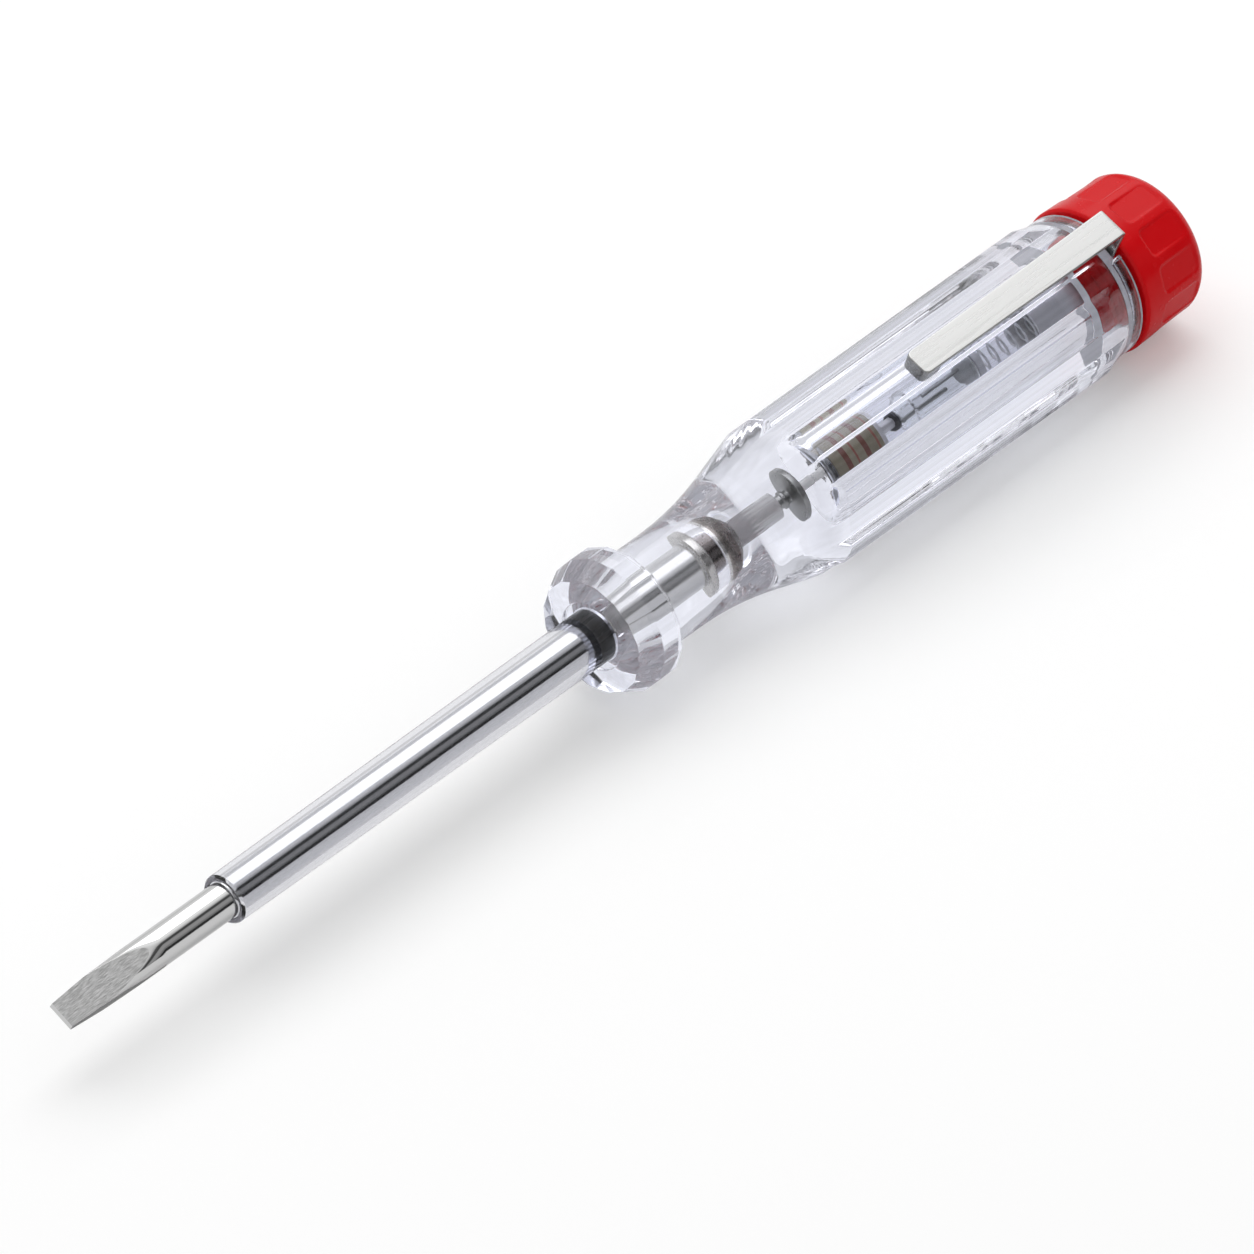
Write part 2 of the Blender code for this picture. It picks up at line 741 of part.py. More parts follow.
def build_cap(shop, red):
    end_radius = CAP_RADIUS - CAP_TAPER
    fillet = []
    for i in range(CAP_FILLET_POINTS + 1):
        angle = math.pi / 2 * i / CAP_FILLET_POINTS
        fillet.append(
            (
                end_radius - CAP_FILLET * (1 - math.cos(angle)),
                CAP_END - CAP_FILLET * (1 - math.sin(angle)),
            )
        )
    recess = TOUCH_HEAD_RADIUS + GAP
    recess_floor = CAP_END - TOUCH_HEAD_LENGTH - GAP
    pin = TOUCH_RADIUS + FIT
    socket = STUD_RADIUS + GAP
    cap = shop.turned(
        "cap",
        [
            (socket, BOSS_START),
            (BOSS_RADIUS, BOSS_START),
            (BOSS_RADIUS, HANDLE_END),
            (RING_OUTER_RADIUS, HANDLE_END),
            (RING_OUTER_RADIUS, CAP_START),
            (CAP_RADIUS, CAP_START),
            *fillet,
            (recess, CAP_END),
            (recess, recess_floor),
            (pin, recess_floor),
            (pin, TOUCH_START),
            (socket, TOUCH_START),
        ],
        BODY_STEPS,
        red,
        hollow=True,
    )
    thread = shop.tube(
        "boss_thread",
        helix(
            BOSS_RADIUS,
            THREAD_PITCH,
            BOSS_START + GAP + THREAD_RADIUS,
            SEAT_FLOOR,
            THREAD_POINTS_PER_TURN,
        ),
        THREAD_RADIUS,
        TUBE_RESOLUTION,
    )
    shop.combine(cap, thread, "UNION")
    floor = CAP_RADIUS - PAD_DEPTH
    depth = PAD_DEPTH + OVERCUT
    for i in range(PAD_COUNT):
        pad = shop.block(
            f"pad_{i}",
            (depth, PAD_WIDTH, PAD_LENGTH),
            (floor + depth / 2, 0.0, CAP_START + PAD_START + PAD_LENGTH / 2),
        )
        pad.data.transform(Matrix.Rotation(UP + PAD_TURN + 2 * math.pi * i / PAD_COUNT, 4, "Z"))
        shop.combine(cap, pad, "DIFFERENCE")


def build_touch_contact(shop, steel):
    head_start = CAP_END - TOUCH_HEAD_LENGTH
    shop.turned(
        "touch_contact",
        [
            (0.0, TOUCH_START),
            (TOUCH_RADIUS, TOUCH_START),
            (TOUCH_RADIUS, head_start),
            (TOUCH_HEAD_RADIUS, head_start),
            (TOUCH_HEAD_RADIUS, CAP_END),
            (0.0, CAP_END),
        ],
        SHAFT_STEPS,
        steel,
    )


def build_clip(shop, steel):
    """Strip with a foot and a rear tab, in one with the ring that the cap clamps, which is at height zero."""
    rear = RING_END - RING_START
    front = rear - CLIP_LENGTH
    foot_bottom = GRIP_RADIUS + GAP
    front_under = foot_bottom + FOOT_DROP
    rear_top = front_under + CLIP_THICKNESS + CLIP_RISE
    rear_under = rear_top - CLIP_THICKNESS
    bend = []
    for i in range(CLIP_BEND_POINTS + 1):
        angle = math.pi / 2 * i / CLIP_BEND_POINTS
        bend.append(
            (
                rear_top - CLIP_BEND * (1 - math.cos(angle)),
                rear - CLIP_BEND * (1 - math.sin(angle)),
            )
        )
    tab_foot = (RING_INNER_RADIUS + RING_OUTER_RADIUS) / 2
    strip = shop.plate(
        "pocket_clip",
        [
            (foot_bottom, front),
            (front_under + CLIP_THICKNESS, front),
            *bend,
            (tab_foot, rear),
            (tab_foot, 0.0),
            (rear_under, 0.0),
            (front_under, front + FOOT_LENGTH),
            (foot_bottom, front + FOOT_LENGTH),
        ],
        CLIP_REAR_WIDTH,
        steel,
    )
    shape_strip(strip.data, front, rear)
    ring = shop.turned(
        "clip_ring",
        [
            (RING_OUTER_RADIUS, 0.0),
            (RING_OUTER_RADIUS, rear),
            (RING_INNER_RADIUS, rear),
            (RING_INNER_RADIUS, 0.0),
        ],
        BODY_STEPS,
        hollow=True,
    )
    for obj in (strip, ring):
        obj.location.z = RING_START
        obj.rotation_euler.z = UP + CLIP_TURN
    shop.combine(strip, ring, "UNION")


def shape_strip(mesh, front, rear):
    """Narrow the strip towards its front and round the front corners."""
    shape = bmesh.new()
    shape.from_mesh(mesh)
    taper = CLIP_FRONT_WIDTH / CLIP_REAR_WIDTH
    for vertex in shape.verts:
        share = min(1.0, max(0.0, (vertex.co.z - front) / (rear - front)))
        vertex.co.y *= taper + (1 - taper) * share
    corners = []
    for edge in shape.edges:
        at_front = all(abs(vertex.co.z - front) < MERGE_DISTANCE for vertex in edge.verts)
        if at_front and abs(edge.verts[0].co.y - edge.verts[1].co.y) < MERGE_DISTANCE:
            corners.append(edge)
    bmesh.ops.bevel(
        shape,
        geom=corners,
        offset=CLIP_CORNER,
        segments=CLIP_CORNER_SEGMENTS,
        profile=0.5,
        affect="EDGES",
    )
    shape.to_mesh(mesh)
    shape.free()


def main():
    shop = Workshop()
    clear = new_material("clear_plastic", (0.86, 0.87, 0.93), 0.05, alpha=0.35)
    sleeve = new_material("clear_sleeve", (0.88, 0.88, 0.9), 0.08, alpha=0.4)
    chrome = new_material("bright_steel", (0.75, 0.75, 0.75), 0.15, metallic=1.0)
    satin = new_material("satin_steel", (0.8, 0.8, 0.79), 0.3, metallic=1.0)
    tin = new_material("tinned_metal", (0.55, 0.55, 0.52), 0.35, metallic=1.0)
    dark = new_material("dark_metal", (0.12, 0.12, 0.12), 0.4, metallic=1.0)
    beige = new_material("resistor_coat", (0.6, 0.54, 0.4), 0.4)
    glass = new_material("lamp_glass", (0.93, 0.93, 0.9), 0.02, alpha=0.3)
    red = new_material("red_plastic", (0.66, 0.006, 0.01), 0.2)

    build_blade(shop, chrome)
    build_sleeve(shop, sleeve)
    build_handle(shop, clear)
    build_ferrule(shop, satin)
    build_contact_disc(shop, tin)
    build_resistor(shop, beige, tin)
    build_lamp(shop, glass, dark, tin)
    build_spring(shop, chrome)
    build_rear_contacts(shop, tin)
    build_cap(shop, red)
    build_touch_contact(shop, chrome)
    build_clip(shop, satin)
    shop.lay_down()


main()
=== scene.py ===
"""Voltage tester screwdriver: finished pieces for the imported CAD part, and a studio stage.

Pieces are modelled along X with the blade's tip at zero and the tool's axis at zero height, and are then
set in the frame's place. Angles round the axis are counted from straight up towards -Y.
"""

import math

import bmesh
import bpy
from bpy.props import FloatProperty, FloatVectorProperty, PointerProperty
from mathutils import Matrix, Vector


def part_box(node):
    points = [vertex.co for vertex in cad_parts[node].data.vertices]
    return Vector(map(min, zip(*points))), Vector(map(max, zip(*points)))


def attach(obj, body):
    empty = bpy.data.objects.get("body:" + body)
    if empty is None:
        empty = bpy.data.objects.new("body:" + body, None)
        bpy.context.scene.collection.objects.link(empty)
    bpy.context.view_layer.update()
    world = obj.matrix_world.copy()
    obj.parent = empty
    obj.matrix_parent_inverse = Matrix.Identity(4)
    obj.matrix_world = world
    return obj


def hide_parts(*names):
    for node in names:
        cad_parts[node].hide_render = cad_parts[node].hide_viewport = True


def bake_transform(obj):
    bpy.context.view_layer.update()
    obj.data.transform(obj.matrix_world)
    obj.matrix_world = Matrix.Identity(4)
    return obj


bl_info = {
    "name": "Voltage Tester Screwdriver",
    "version": (1, 0, 0),
    "blender": (4, 5, 0),
    "location": "View3D > Sidebar > Tester",
    "description": "Models the finished pieces of a voltage tester screwdriver over its CAD frame",
    "category": "Object",
}

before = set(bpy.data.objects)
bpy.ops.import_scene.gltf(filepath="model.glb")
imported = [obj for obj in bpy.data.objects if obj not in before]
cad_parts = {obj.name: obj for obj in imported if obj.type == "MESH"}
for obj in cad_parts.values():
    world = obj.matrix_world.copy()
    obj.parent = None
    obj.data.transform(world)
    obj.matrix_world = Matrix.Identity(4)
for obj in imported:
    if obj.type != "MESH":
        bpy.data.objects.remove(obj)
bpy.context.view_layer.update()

MM = 0.001
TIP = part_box("blade")[0].x
AXIS = (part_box("blade_sleeve")[0].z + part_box("blade_sleeve")[1].z) / 2
MERGE = 1e-6
SMOOTH = math.radians(35)

# Heights along the axis from the blade's tip, as in the part's source
COLLAR_START = 69.9 * MM
COLLAR_END = 74.8 * MM
NECK_END = 80.1 * MM
GRIP_START = 96.1 * MM
GRIP_END = 132.4 * MM
REAR_START = 133.9 * MM
HANDLE_END = 136.1 * MM
SEAT_FLOOR = 135.05 * MM
SLEEVE_START = 21.2 * MM
SLEEVE_END = 71.6 * MM
TANG_END = 84.6 * MM
FERRULE_START = 82.3 * MM
FERRULE_END = 87.6 * MM
STEM_END = 93.4 * MM
DISC_FACE = 95.3 * MM
DISC_END = 95.9 * MM
COAT_START = 98.3 * MM
COAT_END = 105.7 * MM
BORE_START = 97.9 * MM
BORE_END = 131.7 * MM
BOSS_START = 132.0 * MM
CAP_START = 136.4 * MM
CAP_END = 145.0 * MM
PAD_START = CAP_START + 2.5 * MM
TOUCH_START = 133.7 * MM
RING_START = 135.35 * MM
RING_END = 135.8 * MM
SPRING_START = 119.85 * MM
SPRING_END = 128.7 * MM

# Radii
SHAFT_RADIUS = 1.75 * MM
TANG_RADIUS = 1.35 * MM
STEM_RADIUS = 0.83 * MM
SHANK_RADIUS = 0.42 * MM
LEAD_RADIUS = 0.3 * MM
DISC_RADIUS = 1.7 * MM
FERRULE_RADIUS = 2.0 * MM
SLEEVE_RADIUS = 2.58 * MM
NECK_RADIUS = 4.87 * MM
GRIP_RADIUS = 7.7 * MM
REAR_RADIUS = 7.05 * MM
COLLAR_RADIUS = 6.65 * MM
BORE_RADIUS = 2.75 * MM
THREAD_BORE = 4.42 * MM
SEAT_RADIUS = 6.0 * MM
CAP_RADIUS = 7.26 * MM
BOSS_RADIUS = 3.95 * MM
BOSS_BORE = 2.3 * MM
RING_RADIUS = 5.7 * MM
RING_BORE = 4.65 * MM

# Facets and repeats
HANDLE_SIDES = 480
CAP_SIDES = 480
ROD_SIDES = 96
COLLAR_SIDES = 16
FLUTES = 8
PADS = 12
COLLAR_CORNER = math.radians(7.5)
TIP_ROLL = math.radians(32)
PAD_TURN = math.radians(15.5)
CLIP_TURN = math.radians(25.3)


class TesterSizes(bpy.types.PropertyGroup):
    """Sizes of the finished pieces."""

    edge: FloatProperty(
        name="Moulded Edge", description="Radius of the clear handle's moulded edges", default=0.09 * MM, unit="LENGTH"
    )
    flute_depth: FloatProperty(
        name="Flute Depth", description="Depth of the grip's flutes", default=0.4 * MM, unit="LENGTH"
    )
    flute_floor: FloatProperty(
        name="Flute Floor", description="Width of the flutes' floors", default=2.27 * MM, unit="LENGTH"
    )
    flute_shoulder: FloatProperty(
        name="Flute Shoulder", description="Width of the flutes' leaning sides", default=0.8 * MM, unit="LENGTH"
    )
    pad_depth: FloatProperty(
        name="Pad Depth", description="Depth of the cap's finger pads", default=0.38 * MM, unit="LENGTH"
    )
    pad_width: FloatProperty(
        name="Pad Width", description="Width of the cap's finger pads", default=2.7 * MM, unit="LENGTH"
    )
    pad_length: FloatProperty(
        name="Pad Length", description="Length of the cap's finger pads", default=4.6 * MM, unit="LENGTH"
    )
    clip_width: FloatProperty(
        name="Clip Width", description="Width of the pocket clip at its rear", default=3.0 * MM, unit="LENGTH"
    )
    spring_wire: FloatProperty(
        name="Spring Wire", description="Radius of the contact spring's wire", default=0.12 * MM, unit="LENGTH"
    )


class TesterColours(bpy.types.PropertyGroup):
    """Colours of the finishes."""

    plastic: FloatVectorProperty(
        name="Clear Plastic", description="Tint of light that passes the handle", subtype="COLOR",
        default=(0.85, 0.865, 0.95), min=0.0, max=1.0,
    )
    red: FloatVectorProperty(
        name="Cap Red", description="Colour of the screw cap", subtype="COLOR",
        default=(0.62, 0.001, 0.004), min=0.0, max=1.0,
    )
    steel: FloatVectorProperty(
        name="Bright Steel", description="Colour of the plated blade", subtype="COLOR",
        default=(0.74, 0.74, 0.74), min=0.0, max=1.0,
    )
    coat: FloatVectorProperty(
        name="Resistor Coat", description="Colour of the resistor's body", subtype="COLOR",
        default=(0.44, 0.39, 0.27), min=0.0, max=1.0,
    )
    band: FloatVectorProperty(
        name="Resistor Bands", description="Colour of the resistor's rings", subtype="COLOR",
        default=(0.27, 0.10, 0.07), min=0.0, max=1.0,
    )


# Modelling


def clear_selection():
    if bpy.context.object and bpy.context.object.mode != "OBJECT":
        bpy.ops.object.mode_set(mode="OBJECT")
    bpy.ops.object.select_all(action="DESELECT")


def make_active(obj):
    clear_selection()
    obj.select_set(True)
    bpy.context.view_layer.objects.active = obj


def settle():
    """Put the active object's place, turn and size in its mesh."""
    bpy.ops.object.transform_apply(location=True, rotation=True, scale=True)


def pick_all():
    bpy.ops.mesh.select_all(action="SELECT")


def edit(obj):
    make_active(obj)
    bpy.ops.object.mode_set(mode="EDIT")


def apply_modifier(obj, modifier):
    make_active(obj)
    bpy.ops.object.modifier_apply(modifier=modifier.name)


def pick_points(obj, test):
    """Select the points that pass a test of their place, in edit mode."""
    bpy.ops.mesh.select_mode(type="VERT")
    shape = bmesh.from_edit_mesh(obj.data)
    for vertex in shape.verts:
        vertex.select_set(test(vertex.co))
    shape.select_flush_mode()
    bmesh.update_edit_mesh(obj.data)


def pick_faces(obj, test):
    """Select the faces that pass a test of their middle and normal, in edit mode."""
    bpy.ops.mesh.select_mode(type="FACE")
    bpy.ops.mesh.select_all(action="DESELECT")
    shape = bmesh.from_edit_mesh(obj.data)
    for face in shape.faces:
        face.select_set(test(face.calc_center_median(), face.normal))
    bmesh.update_edit_mesh(obj.data)


def pick_edges(obj, test):
    """Select the edges that pass a test of their two ends, in edit mode."""
    bpy.ops.mesh.select_mode(type="EDGE")
    bpy.ops.mesh.select_all(action="DESELECT")
    shape = bmesh.from_edit_mesh(obj.data)
    for edge in shape.edges:
        edge.select_set(test(edge.verts[0].co, edge.verts[1].co))
    bmesh.update_edit_mesh(obj.data)


def turned(name, outline, sides, hollow=False):
    """Turn an outline of (height, radius) points by extruding a circle from point to point."""
    height, radius = outline[0]
    clear_selection()
    bpy.ops.mesh.primitive_circle_add(
        vertices=sides,
        radius=radius,
        fill_type="NOTHING" if hollow else "NGON",
        location=(height, 0.0, 0.0),
        rotation=(0.0, math.pi / 2, 0.0),
    )
    obj = bpy.context.object
    obj.name = obj.data.name = name
    settle()
    bpy.ops.object.mode_set(mode="EDIT")
    bpy.ops.mesh.select_mode(type="VERT")
    pick_all()
    for end, end_radius in [*outline[1:], *(outline[:1] if hollow else [])]:
        bpy.ops.mesh.extrude_region_move(TRANSFORM_OT_translate={"value": (end - height, 0.0, 0.0)})
        share = end_radius / radius
        if share != 1.0:
            bpy.ops.transform.resize(value=(1.0, share, share), center_override=(end, 0.0, 0.0))
        height, radius = end, end_radius
    pick_all()
    bpy.ops.mesh.remove_doubles(threshold=MERGE)
    bpy.ops.mesh.normals_make_consistent(inside=False)
    bpy.ops.object.mode_set(mode="OBJECT")
    return obj


def coiled(name, radius, wire, start, pitch, turns, wire_sides, steps):
    """Wind a round wire about the axis, and close its ends."""
    clear_selection()
    bpy.ops.mesh.primitive_circle_add(vertices=wire_sides, radius=wire, rotation=(math.pi / 2, 0.0, 0.0))
    obj = bpy.context.object
    obj.name = obj.data.name = name
    settle()
    bpy.ops.object.mode_set(mode="EDIT")
    bpy.ops.mesh.select_mode(type="VERT")
    pick_all()
    bpy.ops.transform.translate(value=(start, 0.0, radius))
    bpy.ops.object.mode_set(mode="OBJECT")
    screw = obj.modifiers.new("wind", "SCREW")
    screw.axis = "X"
    screw.angle = 2 * math.pi * turns
    screw.screw_offset = pitch * turns
    screw.steps = screw.render_steps = round(steps * turns)
    apply_modifier(obj, screw)
    edit(obj)
    pick_all()
    bpy.ops.mesh.fill_holes(sides=0)
    pick_all()
    bpy.ops.mesh.normals_make_consistent(inside=False)
    bpy.ops.object.mode_set(mode="OBJECT")
    return obj


def round_edges(obj, width, angle=SMOOTH):
    bevel = obj.modifiers.new("round_edges", "BEVEL")
    bevel.width = width
    bevel.segments = 3
    bevel.limit_method = "ANGLE"
    bevel.angle_limit = angle
    apply_modifier(obj, bevel)


def join_or_cut(obj, tool, operation):
    """Cut the tool's shape out of the piece, or add it on."""
    boolean = obj.modifiers.new(operation.lower(), "BOOLEAN")
    boolean.operation = operation
    boolean.solver = "EXACT"
    boolean.object = tool
    apply_modifier(obj, boolean)
    bpy.data.objects.remove(tool, do_unlink=True)


def polar(place):
    """Height, distance from the axis, and angle from straight up towards -Y."""
    return place.x, math.hypot(place.y, place.z), math.atan2(-place.y, place.z)


def from_nearest(angle, first, count):
    """Angle from the nearest of several evenly spaced directions."""
    step = 2 * math.pi / count
    return (angle - first + step / 2) % step - step / 2


def press(obj, depth, share):
    """Press the surface in towards the axis, by a share of the depth at each point."""
    shares = [share(vertex.co) for vertex in obj.data.vertices]
    for axis, part in (("Y", 1), ("Z", 2)):
        for side in (1.0, -1.0):
            group = obj.vertex_groups.new(name="pressed")
            for vertex, weight in zip(obj.data.vertices, shares):
                lean = side * vertex.co[part] / max(polar(vertex.co)[1], MERGE)
                if weight * lean > 0.0:
                    group.add([vertex.index], weight * lean, "REPLACE")
            displace = obj.modifiers.new("press", "DISPLACE")
            displace.direction = axis
            displace.strength = -side * depth
            displace.mid_level = 0.0
            displace.vertex_group = group.name
    for modifier in list(obj.modifiers):
        apply_modifier(obj, modifier)
    obj.vertex_groups.clear()


def give_finishes(obj, *names):
    for name in names:
        obj.data.materials.append(stock(name))


def use_finish(obj, index, test):
    """Give the faces that pass a test one of the piece's finishes."""
    edit(obj)
    pick_faces(obj, test)
    obj.active_material_index = index
    bpy.ops.object.material_slot_assign()
    bpy.ops.object.mode_set(mode="OBJECT")


def finish(obj, body, slot, node, roll=0.0):
    """Smooth the piece, set it in the frame's place, parent it to its body if it has one and hide its CAD node."""
    make_active(obj)
    bpy.ops.object.shade_smooth_by_angle(angle=SMOOTH)
    apply_modifier(obj, obj.modifiers.new("even_normals", "WEIGHTED_NORMAL"))
    obj.location = (TIP, 0.0, AXIS)
    obj.rotation_euler = (roll, 0.0, 0.0)
    settle()
    if body:
        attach(obj, body)
    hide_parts(node)
    return obj


# Finishes


def new_finish(name, colour, roughness, metallic=0.0):
    material = bpy.data.materials.new(name)
    material.use_nodes = True
    shader = material.node_tree.nodes["Principled BSDF"]
    shader.inputs["Base Color"].default_value = (*colour, 1.0)
    shader.inputs["Roughness"].default_value = roughness
    shader.inputs["Metallic"].default_value = metallic
    return material, material.node_tree, shader


def grain(tree, scale, stretch=(1.0, 1.0, 1.0), detail=3.0):
    """Noise on the piece's own coordinates, in patches per metre."""
    place = tree.nodes.new("ShaderNodeTexCoord")
    spread = tree.nodes.new("ShaderNodeMapping")
    spread.inputs["Scale"].default_value = stretch
    noise = tree.nodes.new("ShaderNodeTexNoise")
    noise.inputs["Scale"].default_value = scale
    noise.inputs["Detail"].default_value = detail
    tree.links.new(place.outputs["Object"], spread.inputs["Vector"])
    tree.links.new(spread.outputs["Vector"], noise.inputs["Vector"])
    return noise.outputs["Fac"]


def vary(tree, source, low, high, start=0.3, end=0.7):
    """Map a noise to a range of numbers."""
    span = tree.nodes.new("ShaderNodeMapRange")
    span.inputs["From Min"].default_value = start
    span.inputs["From Max"].default_value = end
    span.inputs["To Min"].default_value = low
    span.inputs["To Max"].default_value = high
    tree.links.new(source, span.inputs["Value"])
    return span.outputs["Result"]


def tint(tree, source, low, high):
    """Mix two colours by a noise."""
    mix = tree.nodes.new("ShaderNodeMix")
    mix.data_type = "RGBA"
    mix.inputs["A"].default_value = (*low, 1.0)
    mix.inputs["B"].default_value = (*high, 1.0)
    tree.links.new(source, mix.inputs["Factor"])
    return mix.outputs["Result"]


def emboss(tree, shader, source, distance):
    bump = tree.nodes.new("ShaderNodeBump")
    bump.inputs["Distance"].default_value = distance
    bump.inputs["Strength"].default_value = 1.0
    tree.links.new(source, bump.inputs["Height"])
    tree.links.new(bump.outputs["Normal"], shader.inputs["Normal"])


def scaled(colour, share):
    return tuple(channel * share for channel in colour)


def clear_finish(name, colour, index, lines, deep=0.93):
    material, tree, shader = new_finish(name, colour, 0.0)
    shader.inputs["Transmission Weight"].default_value = 1.0
    shader.inputs["IOR"].default_value = index
    flow = grain(tree, 1300.0, (0.004, 1.0, 1.0), 2.0)
    streak = vary(tree, flow, 0.0, 1.0, 0.35, 0.65)
    tree.links.new(tint(tree, streak, scaled(colour, deep), scaled(colour, 1.05)), shader.inputs["Base Color"])
    emboss(tree, shader, flow, lines * MM)
    return material


# Painted light: a pale opaque finish with fine grit for the handle's rear end faces, so light guided inside the handle
# shows pale there instead of red
def painted_light_end_finish(name, colour):
    material, tree, shader = new_finish(name, colour, 0.6)
    grit = grain(tree, 4000.0)
    tree.links.new(tint(tree, grit, scaled(colour, 0.9), colour), shader.inputs["Base Color"])
    tree.links.new(vary(tree, grit, 0.5, 0.7), shader.inputs["Roughness"])
    emboss(tree, shader, grit, 0.01 * MM)
    return material


def glass_finish(name):
    material, tree, shader = new_finish(name, (0.97, 0.98, 0.97), 0.0)
    shader.inputs["Transmission Weight"].default_value = 1.0
    shader.inputs["IOR"].default_value = 1.5
    emboss(tree, shader, grain(tree, 600.0), 0.006 * MM)
    return material


def bright_finish(name, colour):
    material, tree, shader = new_finish(name, colour, 0.1, 1.0)
    streaks = grain(tree, 900.0, (0.03, 1.0, 1.0))
    tree.links.new(vary(tree, streaks, 0.06, 0.13), shader.inputs["Roughness"])
    tree.links.new(tint(tree, streaks, scaled(colour, 0.94), colour), shader.inputs["Base Color"])
    emboss(tree, shader, streaks, 0.0015 * MM)
    return material


def ground_finish(name, colour):
    material, tree, shader = new_finish(name, colour, 0.4, 1.0)
    streaks = vary(tree, grain(tree, 9500.0, (0.05, 1.0, 1.0), 4.0), 0.0, 1.0, 0.3, 0.7)
    tree.links.new(vary(tree, streaks, 0.33, 0.5), shader.inputs["Roughness"])
    tree.links.new(tint(tree, streaks, scaled(colour, 0.72), scaled(colour, 1.15)), shader.inputs["Base Color"])
    emboss(tree, shader, streaks, 0.007 * MM)
    return material


def metal_finish(name, colour, roughness, stretch, scale, metallic=1.0):
    material, tree, shader = new_finish(name, colour, roughness, metallic)
    streaks = grain(tree, scale, stretch)
    tree.links.new(vary(tree, streaks, roughness * 0.8, roughness * 1.25), shader.inputs["Roughness"])
    tree.links.new(tint(tree, streaks, scaled(colour, 0.9), colour), shader.inputs["Base Color"])
    emboss(tree, shader, streaks, 0.004 * MM)
    return material


def red_finish(name, colour):
    material, tree, shader = new_finish(name, colour, 0.3)
    shader.inputs["Specular IOR Level"].default_value = 0.12
    skin = grain(tree, 900.0, (1.0, 1.0, 1.0), 2.0)
    tree.links.new(vary(tree, skin, 0.2, 0.28), shader.inputs["Roughness"])
    tree.links.new(tint(tree, skin, scaled(colour, 0.96), colour), shader.inputs["Base Color"])
    emboss(tree, shader, skin, 0.003 * MM)
    return material


def banded_finish(name, start, end, rings, roughness, metallic=0.0):
    """Finish in rings along the axis, each from its share of the length between start and end."""
    material, tree, shader = new_finish(name, rings[0][1], roughness, metallic)
    place = tree.nodes.new("ShaderNodeTexCoord")
    split = tree.nodes.new("ShaderNodeSeparateXYZ")
    tree.links.new(place.outputs["Object"], split.inputs["Vector"])
    along = vary(tree, split.outputs["X"], 0.0, 1.0, TIP + start, TIP + end)
    ramp = tree.nodes.new("ShaderNodeValToRGB")
    ramp.color_ramp.interpolation = "CONSTANT"
    stops = ramp.color_ramp.elements
    for stop, (share, shade) in enumerate(rings):
        entry = stops[stop] if stop < 2 else stops.new(share)
        entry.position = share
        entry.color = (*shade, 1.0)
    tree.links.new(along, ramp.inputs["Fac"])
    specks = grain(tree, 3000.0)
    shade = tree.nodes.new("ShaderNodeMix")
    shade.data_type = "RGBA"
    shade.blend_type = "MULTIPLY"
    shade.inputs["Factor"].default_value = 1.0
    tree.links.new(ramp.outputs["Color"], shade.inputs["A"])
    tree.links.new(tint(tree, specks, (0.82, 0.8, 0.76), (1.0, 1.0, 1.0)), shade.inputs["B"])
    tree.links.new(shade.outputs["Result"], shader.inputs["Base Color"])
    tree.links.new(vary(tree, specks, roughness * 0.85, roughness * 1.15), shader.inputs["Roughness"])
    emboss(tree, shader, specks, 0.008 * MM)
    return material


def coat_rings(colour, band):
    """The resistor's rings: a dark front, and reddish bands on a beige coat."""
    dull, thin = scaled(colour, 0.85), scaled(band, 1.6)
    return (
        (0.0, scaled(colour, 0.4)), (0.11, dull), (0.28, band), (0.36, colour), (0.455, thin), (0.485, colour),
        (0.61, band), (0.69, dull), (0.83, thin), (0.86, dull), (0.95, scaled(colour, 0.6)),
    )


# Painted light and shade on the ferrule's metal: a dark ring over its groove, a painted highlight just behind it, and
# darker again over the cone
FERRULE_LIGHT_AND_SHADE = (
    (0.0, (0.6, 0.59, 0.57)), (0.18, (0.2, 0.17, 0.15)), (0.45, (0.7, 0.69, 0.67)),
    (0.53, (0.34, 0.31, 0.29)), (0.82, (0.55, 0.54, 0.52)),
)


